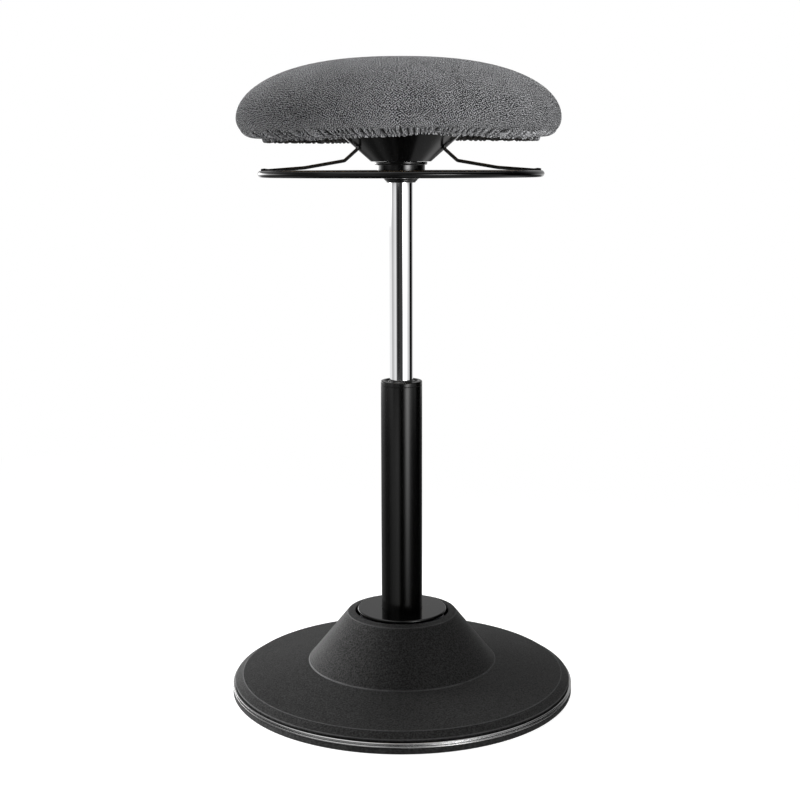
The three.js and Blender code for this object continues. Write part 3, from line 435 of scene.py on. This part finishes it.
def make_base_trim():
    """Bright band with two round beads and a groove between them."""
    inside, low, high = 203.5, 7.2, 13.4
    bead, bead_middle, groove = 1.2, 208.9, 207.5
    middle = (low + high) / 2
    outline = [(inside, low)]
    for up in (low + bead, high - bead):
        for a in np.radians(range(-90, 91, 15)):
            outline.append((bead_middle + bead * math.cos(a), up + bead * math.sin(a)))
        if up < middle:
            outline += [(groove + 0.2, middle - 0.5), (groove, middle), (groove + 0.2, middle + 0.5)]
    outline.append((inside, high))
    trim = turned("base_trim_turned", outline, 720, sharp=50)
    finished(trim, "base", "bright_trim", "base_trim_ring")


def make_base_cover():
    """Disc and cone moulded in one, with a crease at the cone's foot and a shadow gap at the rim."""
    wall, gap = 2.8, 1.3
    mouth, mouth_low, mouth_top = 57.5, 92.6, 98.6
    cone_top, cone_top_up = 67.2, 96.5
    foot, foot_up = 115.8, 36.3
    bevel, bevel_up = 197.6, 23.0
    rim, rim_up, rim_low = 207.5, 16.5, 13.7
    outside = [(mouth, mouth_low), (mouth, mouth_top), (cone_top, cone_top_up), (foot, foot_up),
               (bevel, bevel_up), (rim, rim_up), (rim, rim_low)]
    cover = turned("base_cover_turned", [
        (mouth, mouth_low), (mouth, mouth_top, 0.9), (cone_top, cone_top_up + 0.2, 1.1),
        (foot - 1.2, foot_up + 1.6, 1.2), (foot - 0.2, foot_up + 0.9, 0.5),
        (foot + 0.5, foot_up - 0.5, 0.7), (bevel, bevel_up, 0.9), (rim, rim_up, 0.8),
        (rim, rim_up - 0.9, 0.4), (rim - gap, rim_up - 1.1, 0.3), (rim - gap, rim_low),
        *reversed(beside(outside, -wall))], 192)
    finished(cover, "base", "moulded_black", "base_cover")


make_base_pad()
make_base_trim()
make_base_cover()


# Column

TUBE, TUBE_TOP = 25.0, 380.6


def make_top_plate():
    """Glossy plate round the foot of the column."""
    bore, radius, low, top = 25.3, 54.8, 98.0, 101.4
    plate = turned("pivot_top_plate_turned", [
        (bore, low), (radius, low, 0.5), (radius, top, 1.5), (bore, top, 0.2)], 160)
    finished(plate, "column", "gloss_black", "pivot_top_plate")


def make_outer_tube():
    """Outer tube, whose tapered foot has a floor with a hole for the piston rod."""
    bore, foot, foot_bore, hole = 23.0, 23.2, 21.2, 5.4
    low, floor_low, floor_top, taper_top = 26.0, 29.0, 32.0, 96.0
    tube = turned("outer_tube_turned", [
        (foot_bore, low), (foot, low, 0.3), (TUBE, taper_top), (TUBE, TUBE_TOP, 0.3),
        (bore, TUBE_TOP), (bore, taper_top), (foot_bore, floor_top), (hole, floor_top),
        (hole, floor_low), (foot_bore, floor_low)])
    finished(tube, "column", "painted_black", "outer_tube")


def make_guide_bush():
    """Guide in the tube's top, with a dished cap over the tube's end."""
    bore, radius, low = 14.4, 22.7, 310.9
    cap_low, cap_top = TUBE_TOP + 0.3, 386.1
    dish, lip = cap_top - 1.8, cap_top - 0.4
    bush = turned("guide_bush_turned", [
        (bore, low), (radius, low, 0.4), (radius, cap_low), (TUBE, cap_low, 0.3),
        (TUBE, cap_top, 1.5), (20.9, cap_top, 0.5), (19.6, dish, 0.5), (16.6, dish, 0.4),
        (15.9, lip, 0.4), (bore, lip, 0.3)])
    finished(bush, "column", "guide_plastic", "guide_bush")


make_top_plate()
make_outer_tube()
make_guide_bush()


# Under the seat

def make_pressure_tube():
    """Chromed tube with its top taper, closed above the gas room but for the valve pin's bore."""
    bore, radius, taper, pin_bore = 12.0, 14.0, 13.2, 3.4
    low, gas_top, taper_low, top = 282.0, 600.0, 628.0, 656.0
    tube = turned("pressure_tube_turned", [
        (bore, low), (radius, low, 0.5), (radius, taper_low), (taper, top, 0.5),
        (pin_bore, top), (pin_bore, gas_top), (bore, gas_top)])
    finished(tube, "seat", "chrome", "pressure_tube")


def make_dust_ring():
    """Three ribs, each wider than the one below."""
    bore, low, top = 14.4, 621.8, 627.4
    outline = [(bore, low, 0.3)]
    for rib_low, radius in ((low, 17.4), (623.67, 19.2), (625.53, 20.9)):
        outline += [(radius - 1.1, rib_low, 0.25), (radius, rib_low + 0.5, 0.4),
                    (radius, rib_low + 1.35, 0.4)]
    outline += [(20.0, top, 0.3), (bore, top)]
    ring = turned("dust_ring_turned", outline, 96, step=20)
    finished(ring, "seat", "moulded_black", "dust_ring", "satin_black")


def make_hub_collar():
    """Glossy collar with a lip at its top."""
    bore, radius, lip = 19.3, 28.2, 31.0
    low, lip_low, top = 627.7, 642.3, 645.9
    collar = turned("hub_collar_turned", [
        (bore, low), (radius, low, 1.1), (radius, lip_low, 0.5), (lip - 0.1, lip_low + 0.5, 0.7),
        (lip, top, 0.8), (bore, top)])
    finished(collar, "seat", "gloss_black", "hub_collar")


def slotted(piece, boxes):
    """Cuts boxes (low corner, high corner) out of piece."""
    bm = bmesh.new()
    for low, high in boxes:
        corners = [bm.verts.new([(low, high)[bit][axis] * MM for axis, bit in enumerate(bits)])
                   for bits in ((0, 0, 0), (1, 0, 0), (1, 1, 0), (0, 1, 0),
                                (0, 0, 1), (1, 0, 1), (1, 1, 1), (0, 1, 1))]
        for side in ((3, 2, 1, 0), (4, 5, 6, 7), (0, 1, 5, 4), (1, 2, 6, 5), (2, 3, 7, 6), (3, 0, 4, 7)):
            bm.faces.new([corners[k] for k in side])
    cutter = settled("slot_cutter", bm, weighted=False)
    cut = piece.modifiers.new("slots", "BOOLEAN")
    cut.operation, cut.solver, cut.object = "DIFFERENCE", "EXACT", cutter
    piece.modifiers.move(len(piece.modifiers) - 1, 0)
    seen = piece.evaluated_get(bpy.context.evaluated_depsgraph_get())
    held = bpy.data.meshes.new_from_object(seen)
    piece.modifiers.clear()
    piece.data = held
    bpy.data.objects.remove(cutter)


def make_cone_cover():
    """Cone under the seat bracket, with a slot on each side for the lever's wire."""
    bore, foot, shoulder, brim = 19.3, 35.3, 72.0, 80.0
    low, brim_low, wall = 646.2, 678.2, 2.5
    slot_middle, slot_half, slot_front, slot_back = 54.7, 9, -27.7, -20.3
    slot_low, slot_top = 660.6, 677.9
    cone = turned("cone_cover_turned", [
        (bore, low), (foot, low, 1.3), (shoulder, brim_low, 0.8), (brim, brim_low, 0.5),
        (brim, brim_low + wall, 0.5), (shoulder - 1.1, brim_low + wall, 1.2),
        (foot - 0.9, low + wall, 0.6), (bore, low + wall)], 160)
    slotted(cone, [((side * slot_middle - slot_half, slot_front, slot_low),
                    (side * slot_middle + slot_half, slot_back, slot_top)) for side in (-1, 1)])
    finished(cone, "seat", "moulded_black", "cone_cover", "satin_black")


make_pressure_tube()
make_dust_ring()
make_hub_collar()
make_cone_cover()


# Release lever

def make_release_ring():
    radius, rod, height = 164, 4.0, 632
    outline = [(radius + rod * math.cos(t), height + rod * math.sin(t)) for t in turns(24)]
    ring = turned("release_ring_turned", outline, 224, sharp=180)
    finished(ring, "lever", "gloss_black", "release_ring")


def make_lever_wire():
    """One wire from one side of the ring through the bracket to the other, with rough welds."""
    wire, forward, bend, spacing = 2, -24, 4.5, 4
    weld_size, weld_place, weld_length = 1.5, 2.2, 2.4
    leg = [(57.0, 672.8, bend), (50.2, 664.6, bend), (50.2, 660.6, bend), (65.4, 647.2, bend),
           (112.0, 639.2, 40.0), (162.2, 635.4)]
    route = rounded([(-x, z, *r) for x, z, *r in reversed(leg)] + leg, closed=False, step=7)
    dense = []
    for a, b in zip(route, route[1:]):
        count = max(1, math.ceil(np.linalg.norm(b - a) / spacing))
        dense += [a + (b - a) * k / count for k in range(count)]
    dense.append(route[-1])
    sections = []
    for i, here in enumerate(dense):
        way = unit(dense[min(i + 1, len(dense) - 1)] - dense[max(i - 1, 0)])
        to_end = min(np.linalg.norm(here - dense[0]), np.linalg.norm(here - dense[-1]))
        weld = weld_size * math.exp(-((to_end - weld_place) / weld_length) ** 2)
        section = []
        for t in turns(20):
            radius = wire + weld * (1 + 0.25 * math.sin(3 * t + to_end * 1.7))
            across, out = radius * math.cos(t), radius * math.sin(t)
            section.append((here[0] - way[1] * across, forward + out, here[1] + way[0] * across))
        sections.append(section)
    bm = bmesh.new()
    made = lofted(bm, sections, closed_up=False)
    bm.faces.new(made[0])
    bm.faces.new(made[-1])
    lever = settled("lever_wire_swept", bm, sharp=60)
    finished(lever, "lever", "painted_black", "lever_wire")


make_release_ring()
make_lever_wire()


# Seat: one section for the cover, the foam and the elastic, gathered at the hem

# Half sizes at the widest place and the power of the plan's superellipse
HALF_WIDTH, HALF_DEPTH, SQUARENESS = 189.0, 170.0, 2.2
# The cushion lies aside of the column, and the middle of its crown a little less so
ASIDE, CROWN_SHIFT = -2.7, 1.0
# Height of the widest place, the crown over it with its fullness, and the turn under it
WIDEST, CROWN, FULLNESS, TUCK = 695.5, 69.4, 0.811, 20.0
CLOTH, FOAM_SKIN = 1.6, 2.6
# How many folds, how deep, and how far along the way to the hem's edge the turn ends
FOLDS, FOLD_DEPTH, TURN_SHARE = 112, 1.6, 0.78
# The inner side of the cloth is painted at this share of its colour, a painted shade where the hem's
# inside lies in shadow
INSIDE_PAINTED_SHADE = 0.16
# Points round a ring with folds and round one without
FINE, COARSE = 1920, 480
# The hem hangs unevenly: (degrees from the right by way of the back, its lowest height)
HEM_HEIGHTS = ((0, 670.1), (49, 672.0), (62, 672.7), (119, 669.5), (131, 669.4), (180, 668.6),
               (232, 669.2), (242, 669.5), (251, 671.1), (263, 672.0), (270, 672.7), (276, 675.0),
               (282, 674.7), (289, 672.3), (297, 673.6), (306, 671.0), (335, 670.4), (360, 670.1))
# The height that its rings are drawn for, and how much lower the cloth above it sags in front
HEM_DRAWN, FRONT_SAG = 669.6, 3.4


def plan(t):
    """Shares of the two half sizes at plan angle t: a superellipse."""
    return (np.sign(np.cos(t)) * np.abs(np.cos(t)) ** (2 / SQUARENESS),
            np.sign(np.sin(t)) * np.abs(np.sin(t)) ** (2 / SQUARENESS))


def even_angles(count):
    """Plan angles at even steps along the seat's edge."""
    fine = np.linspace(0, 2 * math.pi, 24001)
    across, along = plan(fine)
    run = np.hypot(np.diff(across * HALF_WIDTH), np.diff(along * HALF_DEPTH))
    run = np.concatenate([[0], np.cumsum(run)])
    return np.interp(np.arange(count) * run[-1] / count, run, fine)


def wander(lowest, highest):
    """A smooth random curve round the loop, from -1 to 1."""
    share = turns(FINE)
    total = np.zeros(FINE)
    for k in range(lowest, highest + 1):
        total += rng.normal() * np.cos(k * share) + rng.normal() * np.sin(k * share)
    return total / np.abs(total).max()


def eased(value):
    value = np.clip(value, 0, 1)
    return value * value * (3 - 2 * value)


rng = np.random.default_rng(41)
ANGLES = even_angles(FINE)
ACROSS, ALONG = plan(ANGLES)
loop = np.arange(FINE) / FINE
phase = 2 * math.pi * (FOLDS * (loop - 0.04 * np.sin(4 * math.pi * loop)) + 0.8 * wander(3, 60))
fold_size = 1.0 + 0.45 * wander(5, 80)
fold_start = 0.37 + 0.16 * wander(20, 120)
curl = 2.6 * wander(4, 26)
lean = -2 * math.pi * 3.0 * ACROSS * ALONG + 1.2 * wander(3, 30)
LIFT = np.interp(np.degrees(ANGLES), *zip(*HEM_HEIGHTS)) - HEM_DRAWN
SAG = FRONT_SAG * np.clip(-ALONG * 1.6, 0, 1) ** 2


def fold_phase(share):
    """The waves of the folds round the loop, at a share of the way to the hem."""
    return phase + curl * math.sin(math.pi * share) + lean * share


def fold_growth(share):
    """From 0 above the hem to 1 at it, and less at its very edge."""
    return eased((share - fold_start) / 0.12) * (1 - 0.45 * eased((share - 0.9) / 0.1))


def gathers(share):
    """How far the gathered cloth stands out of the smooth section: broad ridges, sharp valleys."""
    ridge = 0.9 - 1.9 * np.exp(-1.4 * (1 + np.cos(fold_phase(share))))
    return FOLD_DEPTH * fold_growth(share) * fold_size * ridge


def painted_fold_shades(share, inside=1.0):
    """The cloth's tone and calm at a ring's points: painted shade in the valleys, a painted highlight
    beside them, and the gathered cloth painted a little lighter as a whole.
    """
    grown = np.minimum(1, fold_growth(share) * fold_size * 1.2)
    painted_valley_shade = np.exp(-1.1 * (1 + np.cos(fold_phase(share))))
    painted_ridge_highlight = np.exp(-1.8 * (1 + np.cos(fold_phase(share) - 2.0)))
    # Painted shade in the valleys, a painted highlight on the ridge beside them, and the gathers painted
    # a little lighter
    tones = inside * np.maximum(0.04, 1 + grown * (0.45 + 1.3 * painted_ridge_highlight - 1.6 * painted_valley_shade))
    return list(zip(tones, 0.85 * grown, np.zeros(FINE)))


def plain_shades(rings, inside=1.0):
    """The same for rings without folds."""
    return [[(inside, 0.0, 0.0)] * len(ring) for ring in rings]


def section_ring(wide, inset, height, normal=(0, 0), moved=0.0, lifted=0.0, coarse=True):
    """Points of one ring of the cushion, pushed out of the smooth section by moved.

    The hem stays in the middle where the cushion lies aside, and the cloth above it sags in
    front. lifted is the ring's share of the hem's uneven heights."""
    band_top = 677.5
    out, up = normal
    aside = ASIDE * (1 - eased((inset - 10) / 14))
    x = aside + ((HALF_WIDTH - inset) * wide + moved * out) * ACROSS
    y = ((HALF_DEPTH - inset) * wide + moved * out) * ALONG
    hanging = eased((inset - 7) / 14) * (1 - eased((inset - 22) / 5)) if height < band_top else 0
    z = height + moved * up + lifted * LIFT - hanging * SAG
    return np.stack([x, y, np.broadcast_to(z, x.shape)], 1)[::FINE // COARSE if coarse else 1]


def crown_pole(skin):
    return [(ASIDE + CROWN_SHIFT, 0, WIDEST + CROWN - skin)]


def crown_rings(count, skin):
    """Rings from near the pole to the widest place, skin inside the outermost surface."""
    rings = []
    for i in range(1, count + 1):
        t = math.pi / 2 * (i / count) ** 1.15
        wide = math.sin(t) ** FULLNESS
        widening = FULLNESS * math.cos(t) * max(math.sin(t), 1e-6) ** (FULLNESS - 1)
        slope = unit(np.array([CROWN * math.sin(t), HALF_WIDTH * widening]))
        rings.append(section_ring(wide, 0.0, WIDEST + CROWN * math.cos(t), slope, -skin))
        rings[-1][:, 0] += CROWN_SHIFT * math.cos(t)
    return rings


def under_ring(degrees, skin, share=None):
    """One ring of the turn under the widest place, which ends flat above the hem."""
    a = math.radians(degrees)
    slope = unit(np.array([math.cos(a), -math.sin(a)]))
    moved = -skin if share is None else gathers(share) - skin
    return section_ring(1.0, TUCK * (1 - math.cos(a)), WIDEST - TUCK * math.sin(a), slope, moved,
                        eased((degrees - 35) / 50), share is None)


def cover_rings():
    """The cover's rings and their shades, from the crown's outside to its inside.

    Crown, gathered turn, hanging hem band, its fold, and the cloth's own inner side."""
    turn_from, turn_to = 12, 90
    crown = [crown_pole(0), *crown_rings(26, 0.0), under_ring(6, 0.0)]
    rings, shades = list(crown), plain_shades(crown)
    for degrees in np.linspace(turn_from, turn_to, 24):
        share = TURN_SHARE * (degrees - turn_from) / (turn_to - turn_from)
        rings.append(under_ring(degrees, 0.0, share))
        shades.append(painted_fold_shades(share))
    # The hem band: how far in, height, way out, share of the way to the hem's edge
    band = ((23.4, 675.3, (0.1, -1), 0.81), (26.2, 675.0, (0.5, -0.85), 0.85),
            (27.3, 674.2, (0.9, -0.4), 0.89), (27.8, 673.0, (1, 0), 0.92),
            (28.0, 671.8, (1, 0), 0.96), (28.1, 670.9, (1, -0.1), 1.0),
            (28.6, 669.9, (0.7, -0.7), 1.0), (29.5, 669.5, (0.3, -0.9), 1.0),
            (30.4, 669.9, (0.2, -0.6), 1.0), (30.9, 670.9, (0.3, 0), 1.0),
            (31.0, 673.0, (0.5, 0), 1.0), (30.8, 675.6, (0.5, 0), 1.0))
    folded_from = 30
    for inset, height, way, share in band:
        rings.append(section_ring(1.0, inset, height, way, gathers(share), 1.0, False))
        # Past the fold the band shows its inner side, which takes the painted shade
        shades.append(painted_fold_shades(share, 1.0 if inset < folded_from else INSIDE_PAINTED_SHADE))
    inner = [section_ring(1.0, 30.4, 677.4, lifted=1.0), section_ring(1.0, 24.0, 677.9, lifted=1.0)]
    inner += [under_ring(d, CLOTH + 0.4 + 1.4 * eased((d - 15) / 30)) for d in (84, 70, 55, 40, 20)]
    inner += reversed(crown_rings(12, CLOTH))
    inner.append(crown_pole(CLOTH))
    return rings + inner, shades + plain_shades(inner, INSIDE_PAINTED_SHADE)


def flat_places(rings):
    """The cloth's own flat coordinates: how far a point is from the middle along the section."""
    reach, before, places = 0.0, np.array(rings[0][0]), []
    for ring in rings:
        here = np.array(ring[0])
        reach += np.linalg.norm(here - before)
        before = here
        angles = ANGLES[::FINE // len(ring)] if len(ring) > 1 else np.zeros(1)
        places += [(reach * math.cos(t) * MM, reach * math.sin(t) * MM, 0.0) for t in angles]
    return places


def marked(piece, name, vectors):
    """Gives each vertex a vector under a name that materials can read."""
    made = piece.data.attributes.new(name, "FLOAT_VECTOR", "POINT")
    made.data.foreach_set("vector", np.array(vectors, np.float32).ravel())


def make_seat_cover():
    rings, shades = cover_rings()
    bm = bmesh.new()
    lofted(bm, rings, closed_up=False)
    cover = settled("seat_cover_gathered", bm, sharp=180, weighted=False)
    marked(cover, CLOTH_MAP, flat_places(rings))
    marked(cover, FOLD_PAINTED_SHADE, [vector for ring in shades for vector in ring])
    finished(cover, "seat", "knit", "seat_cover")


def make_seat_foam():
    """Foam under the cover, with the board's place left free from below."""
    pocket_width, pocket_depth, pocket_top = 166.3, 145.3, 693.3
    mouth_low = 680.9
    rings = [crown_pole(FOAM_SKIN), *crown_rings(14, FOAM_SKIN)]
    rings += [under_ring(d, FOAM_SKIN + 1.8 * eased((d - 8) / 30)) for d in (8, 16, 24, 32, 40)]
    across, along = plan(ANGLES[::FINE // COARSE])
    for wider, height in ((3.7, mouth_low), (0.7, mouth_low + 0.3), (0, mouth_low + 1.1),
                          (0, pocket_top - 0.5), (-0.5, pocket_top)):
        width, depth = pocket_width + wider, pocket_depth + wider
        rings.append([(width * u, depth * v, height) for u, v in zip(across, along)])
    rings.append([(0, 0, pocket_top)])
    bm = bmesh.new()
    lofted(bm, rings, closed_up=False)
    foam = settled("seat_foam_moulded", bm, sharp=50, weighted=False)
    finished(foam, "seat", "foam", "seat_foam")


def make_hem_elastic():
    """Round elastic in the fold of the hem, which waves with the folds."""
    cord, inset, height = 1.0, 29.5, 672.0
    bm = bmesh.new()
    lofted(bm, [section_ring(1.0, inset + cord * math.cos(a), height + cord * math.sin(a), (0.5, 0),
                             gathers(1.0), 1.0, False) for a in turns(8)])
    elastic = settled("hem_elastic_cord", bm, sharp=180, weighted=False)
    finished(elastic, "seat", "rubber", "hem_elastic")


make_seat_cover()
make_seat_foam()
make_hem_elastic()


# Floor

def stage_floor():
    """Pale floor that the camera sees nearly white, with the stool's soft shadow."""
    radius, seen_colour, seen_glow, lighting_colour = 1.6, 0.45, 0.91, 0.75
    material = bpy.data.materials.new("floor")
    material.use_nodes = True
    tree = material.node_tree
    tree.nodes.clear()
    lit = node(tree, "BsdfDiffuse", {"Color": (*grey(seen_colour), 1)})
    glow = node(tree, "Emission", {"Color": (1, 1, 1, 1), "Strength": seen_glow})
    seen = node(tree, "AddShader", {0: lit.outputs[0], 1: glow.outputs[0]})
    plain = node(tree, "BsdfDiffuse", {"Color": (*grey(lighting_colour), 1)})
    rays = node(tree, "LightPath").outputs
    either = node(tree, "MixShader", {0: rays["Is Camera Ray"], 1: plain.outputs[0], 2: seen.outputs[0]})
    out = node(tree, "OutputMaterial")
    tree.links.new(either.outputs[0], out.inputs["Surface"])
    bm = bmesh.new()
    bm.faces.new([bm.verts.new((math.cos(t) * radius, math.sin(t) * radius, 0)) for t in turns(64)])
    piece = settled("floor", bm, weighted=False)
    piece.data.materials.append(material)
    piece.visible_glossy = False


# World: the levels that gloss mirrors, as (degrees from the front towards +X, level)

RIGHT_STRIP = ((-180, 0), (9, 0), (14.5, 0.9), (20, 4.0), (25, 8.5), (30, 11), (34, 12), (40, 9.0),
               (45, 5.0), (50, 2.0), (56, 0.8), (67, 0.15), (76, 0), (180, 0))
LEFT_STRIP = ((-180, 0), (-166, 0), (-158, 4.5), (-140, 4.5), (-130, 2.6), (-120, 2.0), (-110, 0.6),
              (-100, 0.15), (-92, 0), (180, 0))
BEAD_STRIP = ((-180, 0), (-70, 0), (-40, 0.5), (-8, 1.0), (14, 0.9), (28, 0.2), (38, 0), (180, 0))
# Bands from below the horizon to overhead
LOWER = ((-180, 0.25), (-146, 0.29), (-118, 0.28), (-100, 0.08), (-76, 0.04), (-64, 0.26),
         (-50, 0.48), (-20, 0.88), (-10, 0.2), (-4, 0.0), (110, 0.0), (127, 0.04), (141, 0.13),
         (160, 0.25), (180, 0.25))
MIDDLE = ((-180, 0.9), (-112, 0.9), (-101, 0.5), (-86, 0.54), (-72, 0.75), (-54, 0.88), (-50, 0.6),
          (-44, 0.06), (-24, 0.01), (-14, 0.05), (0, 0.035), (9, 0.07), (15, 0.4), (52, 1.0),
          (60, 0.80), (68, 0.62), (76, 0.68), (84, 0.62), (90, 0.1), (96, 0.0), (124, 0.0),
          (138, 0.7), (180, 0.9))
LEVEL = ((-180, 0.42), (-150, 0.40), (-100, 0.2), (-90, 0.07), (-73, 0.06), (-66, 0.2),
         (-58, 0.24), (-30, 0.24), (-25, 0.32), (-18, 0.2), (-12, 0.04), (8, 0.01), (112, 0.0),
         (122, 0.06), (150, 0.42), (180, 0.42))
ABOVE = ((-180, 0.5), (-130, 1.2), (-60, 1.6), (0, 0.75), (40, 1.1), (100, 0.8), (180, 0.5))
# Steeply down on either side, as (degrees up, level)
DOWN_LEFT = ((-180, 0), (-72, 0.0), (-66, 0.15), (-60, 0.19), (-57, 0.08), (-51, 0.075),
             (-45, 0.13), (-39, 0.27), (-33, 0.33), (180, 0.33))
DOWN_RIGHT = ((-180, 0), (-78, 0.0), (-73, 0.28), (-52, 0.28), (-45, 0.5), (-42, 0.75), (180, 0.75))
MATT_LEVEL = 0.2


def panels(tree, share, stops):
    """Levels from stops (degrees, level), with straight runs between, for -180 to 180 as 0 to 1."""
    most = max(level for _, level in stops)
    made = node(tree, "ValToRGB", {"Fac": share})
    ramp = made.color_ramp.elements
    ramp[0].position, ramp[1].position = 0.0, 1.0
    for angle, _ in stops[1:-1]:
        ramp.new(angle / 360 + 0.5)
    for stop, (_, level) in zip(ramp, stops):
        stop.color = (*grey(level / most), 1)
    return product(tree, made.outputs["Color"], most)


def stage_world():
    """White behind everything.

    A glossy surface sees upright bright and dark panels round the stool, and a matt one a soft
    even light."""
    world = bpy.data.worlds.new("studio")
    world.use_nodes = True
    tree = world.node_tree
    tree.nodes.clear()
    axes = parts(tree, node(tree, "TexCoord").outputs["Generated"])
    turn = math_node(tree, "ARCTAN2", axes["X"], product(tree, axes["Y"], -1.0))
    share = math_node(tree, "MULTIPLY_ADD", turn, 0.5 / math.pi, 0.5)
    rise = math_node(tree, "DEGREES", math_node(tree, "ARCSINE", axes["Z"]))
    steep = math_node(tree, "MULTIPLY_ADD", rise, 1 / 360, 0.5)

    def up(start, end, low=0.0, high=1.0):
        """A share that goes from low to high between two heights in degrees."""
        return spread(tree, rise, low, high, start, end)

    dimmed_below = math_node(tree, "POWER", up(-19.5, -9.5, 0.04), 1.5)
    dimmed_below = product(tree, dimmed_below, up(-6.0, -1.0, 0.34))
    strips = [
        product(tree, panels(tree, share, RIGHT_STRIP), dimmed_below, up(0.9, 3.6, 1.0, 0.0)),
        product(tree, panels(tree, share, LEFT_STRIP), up(-2.5, -0.5), up(4.0, 9.0, 1.0, 0.0)),
        product(tree, panels(tree, share, BEAD_STRIP), up(1.5, 3.0), up(7.0, 8.6, 1.0, 0.0))]
    to_right = spread(tree, axes["X"], 0, 1, -0.04, 0.04)
    around = mixed(tree, to_right, panels(tree, steep, DOWN_LEFT), panels(tree, steep, DOWN_RIGHT))
    lower = product(tree, panels(tree, share, LOWER), up(-19.5, -9.7, 0.42))
    around = mixed(tree, up(-36.0, -23.0), around, lower)
    around = mixed(tree, up(-9.3, -9.0), around, panels(tree, share, MIDDLE))
    around = mixed(tree, up(-0.6, -0.3), around, panels(tree, share, LEVEL))
    around = mixed(tree, up(34.0, 50.0), around, panels(tree, share, ABOVE))
    for strip in strips:
        around = math_node(tree, "ADD", around, strip)
    rays = node(tree, "LightPath").outputs
    seen = math_node(tree, "MAXIMUM", rays["Is Camera Ray"], rays["Is Transmission Ray"])
    strength = mixed(tree, seen, mixed(tree, rays["Is Glossy Ray"], MATT_LEVEL, around), 1.0)
    back = node(tree, "Background", {"Strength": strength, "Color": (1, 1, 1, 1)})
    out = node(tree, "OutputWorld")
    tree.links.new(back.outputs[0], out.inputs["Surface"])
    world.cycles.sampling_method = "NONE"
    scene.world = world


# Lamps and camera, in metres and degrees

def lamp(name, stands, aim, power, size, cone):
    """A round softbox. Gloss mirrors the world's panels in its stead."""
    light = bpy.data.lights.new(name, "AREA")
    light.energy, light.size, light.shape = power, size, "DISK"
    light.spread = math.radians(cone)
    piece = bpy.data.objects.new(name, light)
    scene.collection.objects.link(piece)
    piece.visible_glossy = False
    piece.location = stands
    piece.rotation_euler = (Vector(aim) - Vector(stands)).to_track_quat("-Z", "Y").to_euler()


def stage_lamps():
    base, foot, seat, seat_low = (0, 0, 0.05), (0, 0, 0.07), (0, 0, 0.7), (0, 0, 0.69)
    lamp("rear", (0.0, 1.20, 1.90), seat, 2.6, 0.6, 60)
    lamp("low_left", (-1.51, 0.70, 0.40), base, 2.3, 0.5, 50)
    lamp("left", (-1.57, 0.70, 1.05), seat, 2.8, 0.6, 60)
    lamp("top", (0.0, -0.06, 1.75), seat, 0.90, 0.5, 50)
    lamp("right_front", (1.467, -0.847, 0.552), seat, 1.04, 0.5, 34)
    lamp("flank", (-1.68, 0.15, 0.24), foot, 2.2, 0.5, 30)
    lamp("low_front", (0.0, -1.597, 0.14), seat_low, 0.32, 0.3, 30)
    lamp("front", (1.13, -1.13, 0.631), base, 0.23, 0.4, 34)


def stage_camera():
    """The photograph's viewpoint: a little below the seat, looking down by about 10 degrees."""
    stands, lens, downwards, roll = (-0.0012, -1.638, 0.6414), 61.79, 9.684, 0.135
    camera = bpy.data.objects.new("camera", bpy.data.cameras.new("camera"))
    camera.data.lens = lens
    camera.location = stands
    camera.rotation_euler = (math.radians(90 - downwards), math.radians(roll), 0)
    scene.collection.objects.link(camera)
    scene.camera = camera


stage_floor()
stage_world()
stage_lamps()
stage_camera()
scene.view_settings.view_transform = "Standard"
